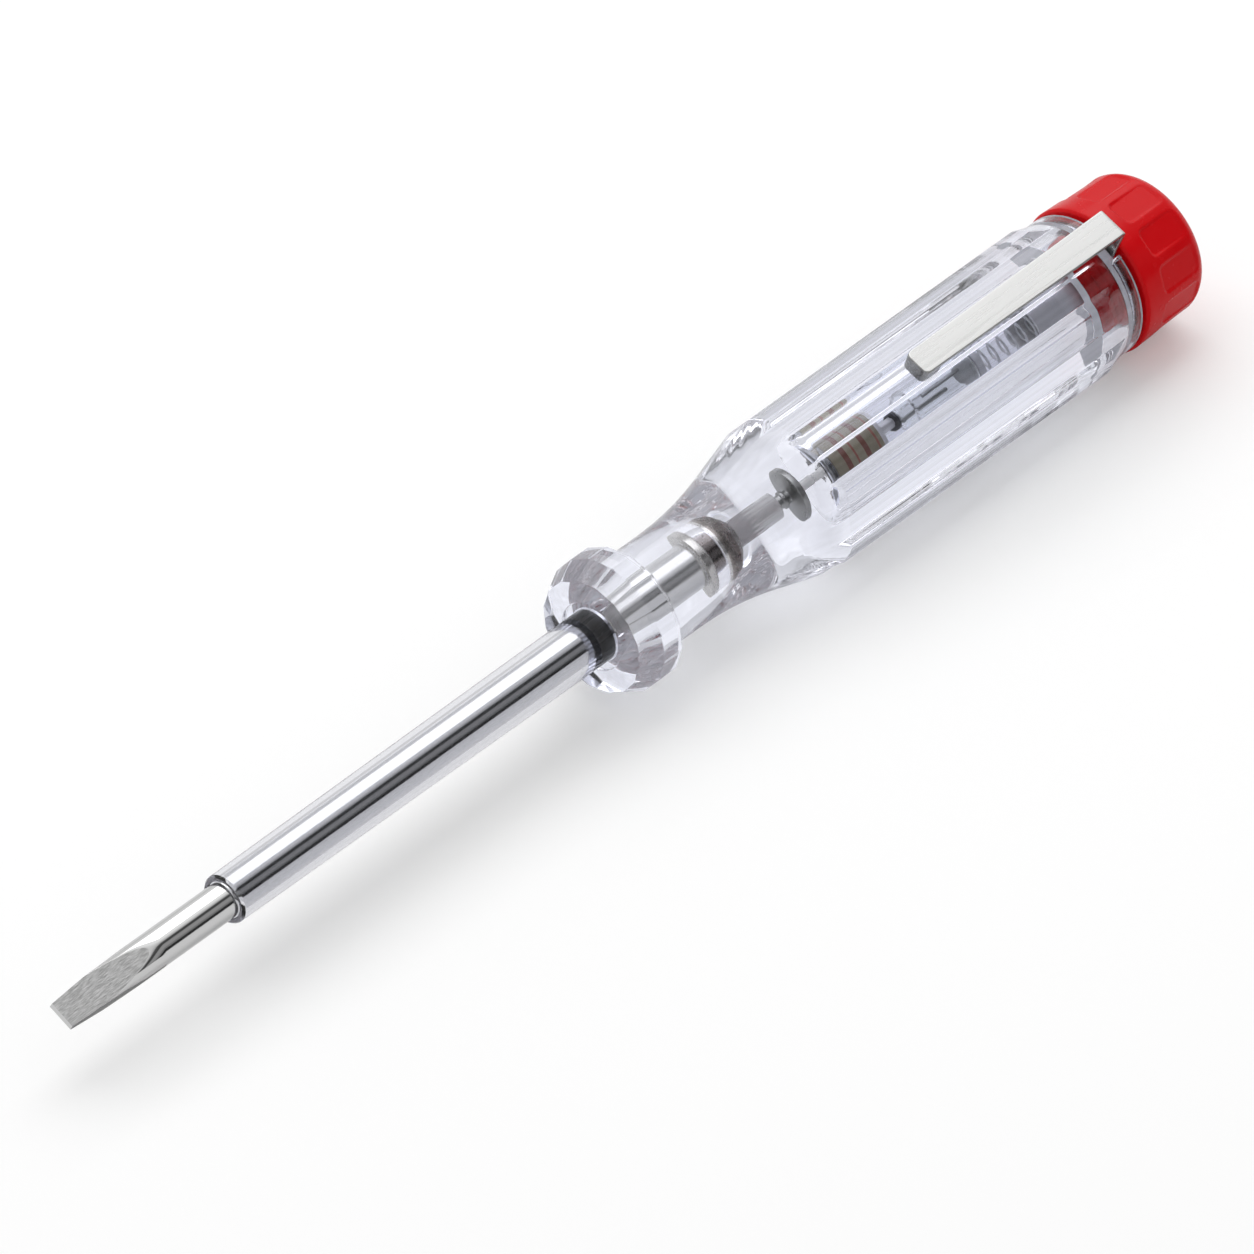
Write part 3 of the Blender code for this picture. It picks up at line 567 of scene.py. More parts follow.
def stock(name):
    """The finish of that name, made at its first use."""
    if name in bpy.data.materials:
        return bpy.data.materials[name]
    colours = bpy.context.scene.tester_colours
    steel = tuple(colours.steel)
    along, around, even = (0.06, 1.0, 1.0), (1.0, 0.1, 0.1), (1.0, 1.0, 1.0)
    makers = {
        "moulded_clear": (clear_finish, colours.plastic, 1.45, 0.022, 0.78),
        "flare_clear": (clear_finish, colours.plastic, 1.45, 0.003),
        "sleeve_clear": (clear_finish, (0.8, 0.805, 0.84), 1.47, 0.004),
        "sanded_end": (painted_light_end_finish, (0.94, 0.94, 0.98)),
        "tube_glass": (glass_finish,),
        "plated_blade": (bright_finish, steel),
        "ground_tip": (ground_finish, scaled(steel, 0.66)),
        # Painted shade: near-black steel on the tip's narrow ground faces, giving the dark line they show
        "ground_edge": (metal_finish, (0.15, 0.15, 0.15), 0.3, along, 3000.0),
        "satin_clip": (metal_finish, (0.6, 0.6, 0.595), 0.28, along, 2400.0),
        # Painted shade: the clip's steel made darker on its sides and front, the same metal as its top
        "clip_edge": (metal_finish, (0.34, 0.34, 0.335), 0.28, along, 2400.0),
        "turned_brass_grey": (metal_finish, (0.88, 0.87, 0.85), 0.4, around, 2600.0, 0.15),
        "dark_wire": (metal_finish, (0.1, 0.1, 0.1), 0.4, (0.2, 1.0, 1.0), 2600.0),
        "nickel_wire": (metal_finish, (0.5, 0.5, 0.49), 0.4, (0.2, 1.0, 1.0), 2600.0, 0.6),
        "satin_wire": (metal_finish, (0.88, 0.88, 0.87), 0.5, even, 2600.0, 0.15),
        "tang_steel": (metal_finish, (0.68, 0.675, 0.66), 0.22, (0.04, 1.0, 1.0), 1800.0, 0.8),
        "dull_disc": (metal_finish, (0.33, 0.33, 0.32), 0.3, (1.0, 0.3, 0.3), 2600.0),
        # Painted shade: a dark glossy band on the sleeve, standing in for the collar's shade and dark reflection
        "black_band": (metal_finish, (0.05, 0.05, 0.05), 0.25, (0.05, 1.0, 1.0), 1800.0, 0.5),
        "moulded_red": (red_finish, tuple(colours.red)),
        "banded_coat": (
            banded_finish, COAT_START, COAT_END, coat_rings(tuple(colours.coat), tuple(colours.band)), 0.35
        ),
        # Painted light and shade in rings along the ferrule
        "ringed_ferrule": (banded_finish, FERRULE_START, FERRULE_END, FERRULE_LIGHT_AND_SHADE, 0.26, 1.0),
    }
    maker, *details = makers[name]
    return maker(name, *details)


# Pieces


def softer_min(a, b, width):
    """The smaller of two numbers, rounded over where they are within width of each other."""
    near = max(width - abs(a - b), 0.0) / width
    return min(a, b) - near * near * width / 4


def flare_radius(share):
    """Radius along the flare: a parabola that runs on as a straight cone."""
    bend = 0.62
    if share < bend:
        rise = share * share / (bend * (2 - bend))
    else:
        rise = (2 * share - bend) / (2 - bend)
    return NECK_RADIUS + (GRIP_RADIUS - NECK_RADIUS) * rise


def rear_radius(height):
    """Radius along the bevel at the ridges' rear ends, rounded over at both ends."""
    start, end, soft = GRIP_END - 0.8 * MM, REAR_START + 0.1 * MM, 0.03 * MM
    slope = GRIP_RADIUS - (GRIP_RADIUS - REAR_RADIUS) * (height - start) / (end - start)
    return -softer_min(-softer_min(GRIP_RADIUS, slope, soft), -REAR_RADIUS, soft)


def steps_between(start, end, count):
    """Evenly spaced numbers after start, up to and with end."""
    return [start + (end - start) * i / count for i in range(1, count + 1)]


class TESTER_OT_handle(bpy.types.Operator):
    """Model the clear handle: faceted collar, neck, flare, fluted grip and moulded-in hollow"""

    bl_idname = "tester.handle"
    bl_label = "Clear Handle"

    SHOULDER = 0.22 * MM
    STEEP = math.radians(1.2)
    FLUTE_SHIFT = math.radians(0.7)

    def outline(self):
        """Round from the sleeve's seat over the outside, and back through the hollow to the seat."""
        hub, hub_floor = 3.35 * MM, 70.4 * MM
        seat = SLEEVE_RADIUS + 0.05 * MM
        over = 0.02 * MM
        flare_length = GRIP_START - NECK_END
        flare = [*steps_between(NECK_END, 92.5 * MM, 14), *steps_between(92.5 * MM, GRIP_START, 20)]
        grip = [GRIP_START + 0.2 * MM, GRIP_START + 0.6 * MM, 100.0 * MM, 112.0 * MM, 124.0 * MM, 130.0 * MM]
        bevel_start = GRIP_END - 0.8 * MM
        bevel = [bevel_start - 0.15 * MM, *steps_between(bevel_start - 0.15 * MM, REAR_START + 0.25 * MM, 28)]
        return [
            (hub_floor, seat),
            (hub_floor, hub),
            (COLLAR_START, hub),
            (COLLAR_START, 5.6 * MM),
            (72.06 * MM, COLLAR_RADIUS),
            (COLLAR_END - 0.4 * MM, COLLAR_RADIUS),
            (COLLAR_END, COLLAR_RADIUS - 0.4 * MM),
            (COLLAR_END, NECK_RADIUS),
            (77.5 * MM, NECK_RADIUS),
            (NECK_END, NECK_RADIUS),
            *((height, flare_radius((height - NECK_END) / flare_length)) for height in flare),
            *((height, GRIP_RADIUS) for height in grip),
            *((height, rear_radius(height)) for height in bevel),
            (REAR_START + 0.6 * MM, REAR_RADIUS),
            (HANDLE_END - 0.25 * MM, REAR_RADIUS),
            (HANDLE_END, REAR_RADIUS - 0.25 * MM),
            (HANDLE_END, SEAT_RADIUS),
            (SEAT_FLOOR, SEAT_RADIUS),
            (SEAT_FLOOR, THREAD_BORE),
            (BORE_END, THREAD_BORE),
            (BORE_END, BORE_RADIUS),
            (BORE_START + 0.5 * MM, BORE_RADIUS),
            (BORE_START + 0.15 * MM, BORE_RADIUS - 0.15 * MM),
            (BORE_START, BORE_RADIUS - 0.5 * MM),
            (BORE_START, LEAD_RADIUS - over),
            (DISC_END - over, LEAD_RADIUS - over),
            (DISC_END - over, DISC_RADIUS - over),
            (DISC_FACE + over, DISC_RADIUS - over),
            (DISC_FACE + over, SHANK_RADIUS - over),
            (STEM_END - over, SHANK_RADIUS - over),
            (STEM_END - over, STEM_RADIUS - over),
            (FERRULE_END - over, STEM_RADIUS - over),
            (FERRULE_END - over, 0.98 * MM),
            (FERRULE_END - 0.9 * MM, FERRULE_RADIUS - 0.25 * MM),
            (FERRULE_END - 1.9 * MM, FERRULE_RADIUS - over),
            (FERRULE_START + over, FERRULE_RADIUS - over),
            (FERRULE_START + over, TANG_RADIUS - over),
            (SLEEVE_END, TANG_RADIUS - over),
            (SLEEVE_END, seat),
        ]

    def flatten_collar(self, obj):
        """Scale the points between the collar's corners in, to flat facets."""
        rows = HANDLE_SIDES // COLLAR_SIDES
        step = 2 * math.pi / HANDLE_SIDES
        middle = COLLAR_CORNER + math.pi / COLLAR_SIDES
        edit(obj)
        for row in range(rows // 2):

            def in_row(place):
                height, radius, angle = polar(place)
                inside = COLLAR_START - MERGE < height < COLLAR_END + MERGE and radius > NECK_RADIUS + MERGE
                return inside and round(abs(from_nearest(angle, middle, COLLAR_SIDES)) / step) == row

            pick_points(obj, in_row)
            share = math.cos(math.pi / COLLAR_SIDES) / math.cos(row * step)
            bpy.ops.transform.resize(value=(1.0, share, share), center_override=(0.0, 0.0, 0.0))
        bpy.ops.object.mode_set(mode="OBJECT")

    def press_flutes(self, obj, sizes):
        """Press in flutes with a floor round the axis, a steep upper side and a leaning lower side."""
        floor = GRIP_RADIUS - sizes.flute_depth
        half = sizes.flute_floor / 2 / floor
        leaning = sizes.flute_shoulder / GRIP_RADIUS
        deepest = GRIP_RADIUS - REAR_RADIUS

        def share(place):
            height, radius, angle = polar(place)
            if not NECK_END < height < REAR_START + 0.5 * MM or radius < NECK_RADIUS + 0.1 * MM:
                return 0.0
            down = from_nearest(abs(angle), 0.0, FLUTES) + self.FLUTE_SHIFT
            rise = max((down - half) / leaning, (-down - half) / self.STEEP, 0.0)
            cut = floor + sizes.flute_depth * min(rise, 2.0)
            return max(0.0, radius - softer_min(radius, cut, self.SHOULDER)) / deepest

        press(obj, deepest, share)

    def on_end(self, middle, normal):
        """Faces across the axis at the rear, in a pale opaque finish that paints light there instead of the red cap
        seen along the inside of the handle.
        """
        return middle.x > BORE_END - 0.1 * MM and abs(normal.x) > 0.9 and polar(middle)[1] < REAR_RADIUS - 0.2 * MM

    def cut_clip_slot(self, obj, sizes):
        clear_selection()
        start, end, low, high = SEAT_FLOOR, HANDLE_END + 1.0 * MM, RING_BORE, GRIP_RADIUS + 1.0 * MM
        bpy.ops.mesh.primitive_cube_add(size=1.0)
        block = bpy.context.object
        block.scale = (end - start, sizes.clip_width + 0.6 * MM, high - low)
        block.location = (start + end) / 2, 0.0, (low + high) / 2
        settle()
        block.rotation_euler.x = CLIP_TURN
        settle()
        join_or_cut(obj, block, "DIFFERENCE")

    def execute(self, context):
        sizes = context.scene.tester_sizes
        obj = turned("clear_handle", self.outline(), HANDLE_SIDES, hollow=True)
        self.flatten_collar(obj)
        round_edges(obj, sizes.edge, math.radians(18))
        self.press_flutes(obj, sizes)
        self.cut_clip_slot(obj, sizes)
        give_finishes(obj, "moulded_clear", "flare_clear", "sanded_end")
        use_finish(obj, 1, lambda middle, normal: middle.x < GRIP_START)
        # Painted light: the rear end faces take the pale opaque finish
        use_finish(obj, 2, self.on_end)
        finish(obj, "handle", "clear_plastic", "handle")
        return {"FINISHED"}


class TESTER_OT_blade(bpy.types.Operator):
    """Model the steel blade with its ground tip, and the clear sleeve on it"""

    bl_idname = "tester.blade"
    bl_label = "Blade and Sleeve"

    # Heights of the painted shade band on the sleeve, where the collar's shade and dark reflection fall
    SHADE_BAND_START = 68.4 * MM
    SHADE_BAND_END = 70.2 * MM

    def execute(self, context):
        blade = turned(
            "steel_blade",
            [
                (0.0, SHAFT_RADIUS),
                (12.0 * MM, SHAFT_RADIUS),
                (SLEEVE_END, SHAFT_RADIUS),
                (SLEEVE_END, TANG_RADIUS),
                (TANG_END, TANG_RADIUS),
                (TANG_END, STEM_RADIUS),
                (STEM_END, STEM_RADIUS),
            ],
            ROD_SIDES,
        )
        give_finishes(blade, "plated_blade", "ground_tip", "tang_steel", "ground_edge")
        self.grind(blade)
        use_finish(blade, 2, lambda middle, normal: middle.x > SLEEVE_END)
        round_edges(blade, 0.05 * MM, math.radians(40))
        finish(blade, "handle", "bright_steel", "blade")

        bore = SHAFT_RADIUS + 0.07 * MM
        front = SLEEVE_RADIUS - 0.19 * MM
        sleeve = turned(
            "clear_sleeve",
            [
                (SLEEVE_START, bore + 0.12 * MM),
                (SLEEVE_START, front - 0.2 * MM),
                (SLEEVE_START + 0.28 * MM, front),
                (self.SHADE_BAND_START, SLEEVE_RADIUS - 0.01 * MM),
                (self.SHADE_BAND_END, SLEEVE_RADIUS),
                (SLEEVE_END, SLEEVE_RADIUS),
                (SLEEVE_END, bore),
                (SLEEVE_START + 0.12 * MM, bore),
            ],
            HANDLE_SIDES,
            hollow=True,
        )
        round_edges(sleeve, 0.04 * MM)
        give_finishes(sleeve, "sleeve_clear", "black_band")

        # Painted shade: the sleeve's outer faces between these heights take the dark band finish
        def on_shade_band(middle, normal):
            return self.SHADE_BAND_START < middle.x < self.SHADE_BAND_END and polar(middle)[1] > front

        use_finish(sleeve, 1, on_shade_band)
        finish(sleeve, "handle", "clear_sleeve", "blade_sleeve")
        return {"FINISHED"}

    def grind(self, blade):
        """Grind two broad and two narrow faces that run out on the round shaft."""
        length, broad, narrow = 10.5 * MM, 0.25 * MM, 1.35 * MM
        for side, half in enumerate((broad, narrow, broad, narrow)):
            angle = TIP_ROLL + side * math.pi / 2
            outward = Vector((0.0, -math.sin(angle), math.cos(angle)))
            lean = math.atan2(SHAFT_RADIUS - half, length)
            edit(blade)
            pick_all()
            bpy.ops.mesh.bisect(
                plane_co=outward * half,
                plane_no=outward * math.cos(lean) - Vector((math.sin(lean), 0.0, 0.0)),
                use_fill=True,
                clear_outer=True,
            )

            def on_face(middle, normal):
                return normal.dot(outward) > math.cos(lean + 0.01) and middle.x < length

            # Broad faces take the ground finish; narrow faces take the near-black painted shade finish
            use_finish(blade, 1 if half == broad else 3, on_face)


class TESTER_OT_inside(bpy.types.Operator):
    """Model what shows inside the handle: ferrule, contacts, resistor, lamp and spring"""

    bl_idname = "tester.inside"
    bl_label = "Lamp Circuit"

    def execute(self, context):
        stem = STEM_RADIUS + 0.01 * MM
        tang = TANG_RADIUS + 0.01 * MM
        grey = "turned_brass_grey"
        ferrule = [
            (FERRULE_START, FERRULE_RADIUS),
            (FERRULE_START + 0.9 * MM, FERRULE_RADIUS),
            (FERRULE_START + 1.0 * MM, FERRULE_RADIUS - 0.1 * MM),
            (FERRULE_START + 2.4 * MM, FERRULE_RADIUS - 0.1 * MM),
            (FERRULE_START + 2.5 * MM, FERRULE_RADIUS),
            (FERRULE_END - 1.9 * MM, FERRULE_RADIUS),
            (FERRULE_END - 0.9 * MM, FERRULE_RADIUS - 0.23 * MM),
            (FERRULE_END, 1.0 * MM),
            (FERRULE_END, stem),
            (TANG_END + 0.1 * MM, stem),
            (TANG_END + 0.1 * MM, tang),
            (FERRULE_START, tang),
        ]
        disc = [
            (STEM_END, SHANK_RADIUS),
            (94.1 * MM, SHANK_RADIUS),
            (94.2 * MM, SHANK_RADIUS + 0.13 * MM),
            (94.5 * MM, SHANK_RADIUS + 0.13 * MM),
            (94.6 * MM, SHANK_RADIUS),
            (DISC_FACE - 0.3 * MM, SHANK_RADIUS),
            (DISC_FACE - 0.22 * MM, 0.7 * MM),
            (DISC_FACE, DISC_RADIUS),
            (DISC_END, DISC_RADIUS),
        ]
        glass = [
            (109.2 * MM, 1.0 * MM),
            (109.6 * MM, 1.0 * MM),
            (110.0 * MM, 1.5 * MM),
            (110.4 * MM, 2.0 * MM),
            (118.4 * MM, 2.0 * MM),
            (118.4 * MM, 1.6 * MM),
            (110.4 * MM, 1.6 * MM),
            (110.0 * MM, 1.1 * MM),
            (109.6 * MM, 0.6 * MM),
            (109.2 * MM, 0.6 * MM),
        ]
        contact = [(118.1 * MM, 1.45 * MM), (118.55 * MM, 1.45 * MM), (118.55 * MM, 2.0 * MM), (119.3 * MM, 2.0 * MM)]
        rod, tinned, dark = self.rod, "tinned_metal", "dark_metal"
        # Name, node, slot, finish, outline, edge radius and sideways place in millimetres
        pieces = (
            ("tang_ferrule", "blade_ferrule", "satin_steel", "ringed_ferrule", ferrule, 0.04, 0.0),
            ("tang_disc", "contact_disc", tinned, "dull_disc", disc, 0.04, 0.0),
            ("front_lead", "resistor_lead_front", tinned, grey, rod(95.9, 98.3, 0.3), 0.03, 0.0),
            ("front_ferrule", "resistor_cap_front", tinned, "dull_disc", rod(98.3, 99.1, 2.45), 0.12, 0.0),
            ("coated_rod", "resistor_body", "resistor_coat", "banded_coat", rod(99.0, 105.2, 2.42), 0.05, 0.0),
            ("rear_ferrule", "resistor_cap_rear", tinned, grey, rod(105.1, 105.7, 2.45), 0.15, 0.0),
            ("rear_lead", "resistor_lead_rear", tinned, grey, rod(105.7, 108.7, 0.5), 0.03, 0.0),
            ("lamp_front_disc", "lamp_cap_front", dark, "dark_wire", rod(108.7, 109.0, 1.0), 0.06, 0.0),
            ("lamp_tube", "lamp_glass", "lamp_glass", "tube_glass", glass, 0.08, 0.0),
            ("front_electrode", "lamp_electrode_front", dark, "nickel_wire", rod(109.4, 115.4, 0.2), 0.08, 0.5),
            ("rear_electrode", "lamp_electrode_rear", dark, "nickel_wire", rod(113.2, 118.2, 0.2), 0.08, -0.5),
            ("lamp_rear_contact", "lamp_cap_rear", tinned, "satin_wire", contact, 0.06, 0.0),
        )
        for name, node, slot, material, outline, edge, aside in pieces:
            obj = turned(name, outline, ROD_SIDES, hollow=outline in (ferrule, glass))
            round_edges(obj, edge * MM)
            if aside:
                obj.data.transform(Matrix.Translation((0.0, -aside * MM, 0.0)))
            give_finishes(obj, material)
            finish(obj, "handle", slot, node)
        self.rear_contacts()
        self.spring(context.scene.tester_sizes)
        return {"FINISHED"}

    def rod(self, start, end, radius):
        return [(start * MM, radius * MM), (end * MM, radius * MM)]

    def rear_contacts(self):
        cup = turned(
            "spring_holder",
            [
                (129.5 * MM, 2.4 * MM),
                (126.1 * MM, 2.4 * MM),
                (126.1 * MM, 2.16 * MM),
                (129.2 * MM, 2.16 * MM),
            ],
            ROD_SIDES,
        )
        round_edges(cup, 0.05 * MM)
        give_finishes(cup, "turned_brass_grey")
        finish(cup, "contact_stud", "tinned_metal", "spring_cup")
        stud = turned("turned_stud", [(129.6 * MM, 2.0 * MM), (133.4 * MM, 2.0 * MM)], ROD_SIDES)
        round_edges(stud, 0.22 * MM)
        give_finishes(stud, "turned_brass_grey")
        finish(stud, "contact_stud", "tinned_metal", "contact_stud")

    def spring(self, sizes):
        turns = 7
        pitch = (SPRING_END - SPRING_START) / turns
        coil = coiled("wound_spring", 1.6 * MM, sizes.spring_wire, SPRING_START, pitch, turns, 14, 40)
        give_finishes(coil, "satin_wire")
        finish(coil, None, "bright_steel", "contact_spring")
        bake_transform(coil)


class TESTER_OT_cap(bpy.types.Operator):
    """Model the red screw cap with its threaded boss, and the touch contact in its end"""

    bl_idname = "tester.cap"
    bl_label = "Screw Cap"

    def outline(self, sizes):
        fillet, taper = 1.8 * MM, 0.2 * MM
        end_radius = CAP_RADIUS - taper
        turn = CAP_END - fillet
        pad_end = PAD_START + sizes.pad_length
        edge = 0.45 * MM
        heights = [
            CAP_START + 0.9 * MM,
            *steps_between(PAD_START - edge, PAD_START + 1.6 * edge, 12),
            *steps_between(PAD_START + 1.6 * edge, pad_end - 1.6 * edge, 8),
            *steps_between(pad_end - 1.6 * edge, turn, 8),
        ]
        side = [(height, CAP_RADIUS - taper * (height - CAP_START) / (turn - CAP_START)) for height in heights]
        rounded = []
        for i in range(1, 19):
            angle = math.pi / 2 * i / 18
            rounded.append((turn + fillet * math.sin(angle), end_radius - fillet * (1 - math.cos(angle))))
        return [
            (BOSS_START, BOSS_BORE),
            (BOSS_START, BOSS_RADIUS - 0.3 * MM),
            (BOSS_START + 0.3 * MM, BOSS_RADIUS),
            (HANDLE_END, BOSS_RADIUS),
            (HANDLE_END, RING_RADIUS),
            (CAP_START, RING_RADIUS),
            (CAP_START, CAP_RADIUS - 0.25 * MM),
            (CAP_START + 0.25 * MM, CAP_RADIUS),
            *side,
            *rounded,
            (CAP_END, 2.5 * MM),
            (CAP_END - 0.8 * MM, 2.5 * MM),
            (CAP_END - 0.8 * MM, 1.7 * MM),
            (TOUCH_START, 1.7 * MM),
            (TOUCH_START, BOSS_BORE),
        ]

    def press_pads(self, obj, sizes):
        floor = CAP_RADIUS - sizes.pad_depth
        half_length = sizes.pad_length / 2
        corner, wall = 0.55 * MM, 0.3 * MM

        def share(place):
            height, radius, angle = polar(place)
            off = from_nearest(angle, PAD_TURN, PADS)
            if height < CAP_START or radius < floor - 1.2 * MM:
                return 0.0
            across = abs(radius * math.sin(off)) - sizes.pad_width / 2 + corner
            along = abs(height - PAD_START - half_length) - half_length + corner
            outside = math.hypot(max(across, 0.0), max(along, 0.0)) + min(max(across, along), 0.0) - corner
            slope = min(1.0, max(0.0, 0.5 - outside / wall))
            depth = max(0.0, radius - floor / math.cos(off))
            return slope * slope * (3 - 2 * slope) * depth / sizes.pad_depth

        press(obj, sizes.pad_depth, share)

    def execute(self, context):
        sizes = context.scene.tester_sizes
        cap = turned("red_cap", self.outline(sizes), CAP_SIDES, hollow=True)
        round_edges(cap, 0.08 * MM, math.radians(30))
        self.press_pads(cap, sizes)
        pitch = 1.6 * MM
        start = BOSS_START + 0.75 * MM
        thread = coiled("boss_thread", BOSS_RADIUS, 0.4 * MM, start, pitch, (SEAT_FLOOR - start) / pitch, 12, 96)
        join_or_cut(cap, thread, "UNION")
        give_finishes(cap, "moulded_red")
        finish(cap, "cap", "red_plastic", "cap")
        pin = turned(
            "touch_pin",
            [
                (TOUCH_START, 1.5 * MM),
                (CAP_END - 0.5 * MM, 1.5 * MM),
                (CAP_END - 0.5 * MM, 2.2 * MM),
                (CAP_END, 2.2 * MM),
            ],
            ROD_SIDES,
        )
        round_edges(pin, 0.12 * MM)
        give_finishes(pin, "plated_blade")
        finish(pin, "cap", "bright_steel", "touch_contact")
        return {"FINISHED"}


class TESTER_OT_clip(bpy.types.Operator):
    """Model the pocket clip: strip, bent foot, rear tab and the ring under the cap"""

    bl_idname = "tester.clip"
    bl_label = "Pocket Clip"

    def execute(self, context):
        sizes = context.scene.tester_sizes
        thickness = RING_END - RING_START
        front, foot, foot_length = RING_END - 26.6 * MM, 8.0 * MM, 2.2 * MM
        under, rise, bend = 9.2 * MM, 0.4 * MM, 0.5 * MM
        taper = 0.89
        clear_selection()
        bpy.ops.mesh.primitive_cube_add(size=1.0)
        clip = bpy.context.object
        clip.name = clip.data.name = "strip_clip"
        top = under + thickness
        clip.scale = (foot_length, sizes.clip_width * taper, top - foot)
        clip.location = (front + foot_length / 2, 0.0, (top + foot) / 2)
        settle()
        edit(clip)
        pick_all()
        bpy.ops.mesh.bisect(plane_co=(0.0, 0.0, under), plane_no=(0.0, 0.0, 1.0))
        pick_faces(clip, lambda middle, normal: normal.x > 0.9 and middle.z > under)
        turn = RING_END - bend
        bpy.ops.mesh.extrude_region_move(
            TRANSFORM_OT_translate={"value": (turn - front - foot_length, 0.0, rise)}
        )
        bpy.ops.transform.resize(value=(1.0, 1.0 / taper, 1.0), center_override=(turn, 0.0, top))
        bpy.ops.mesh.spin(
            steps=6, angle=math.pi / 2, center=(turn, 0.0, top + rise - bend), axis=(0.0, -1.0, 0.0)
        )
        bpy.ops.mesh.extrude_region_move(TRANSFORM_OT_translate={"value": (0.0, 0.0, 5.175 * MM - top - rise + bend)})
        pick_points(clip, lambda place: place.z < foot + MERGE and place.x < front + foot_length + MERGE)
        bpy.ops.transform.resize(value=(1.0, 0.93, 1.0), center_override=(front, 0.0, foot))

        def front_corner(a, b):
            return max(a.x, b.x) < front + MERGE and a.y * b.y > 0.0 and abs(a.z - b.z) > 0.2 * MM

        pick_edges(clip, front_corner)
        bpy.ops.mesh.bevel(offset=0.6 * MM, segments=5, affect="EDGES")
        pick_all()
        bpy.ops.mesh.normals_make_consistent(inside=False)
        bpy.ops.object.mode_set(mode="OBJECT")
        round_edges(clip, 0.09 * MM, math.radians(40))
        give_finishes(clip, "satin_clip", "clip_edge")
        # Painted shade: the clip's side and front faces take the darker finish
        use_finish(clip, 1, lambda middle, normal: abs(normal.y) > 0.3 or normal.x < -0.3)
        ring = turned(
            "clip_ring",
            [(RING_START, RING_BORE), (RING_START, RING_RADIUS), (RING_END, RING_RADIUS), (RING_END, RING_BORE)],
            ROD_SIDES,
            hollow=True,
        )
        join_or_cut(clip, ring, "UNION")
        finish(clip, "pocket_clip", "satin_steel", "pocket_clip", roll=CLIP_TURN)
        return {"FINISHED"}


# Stage


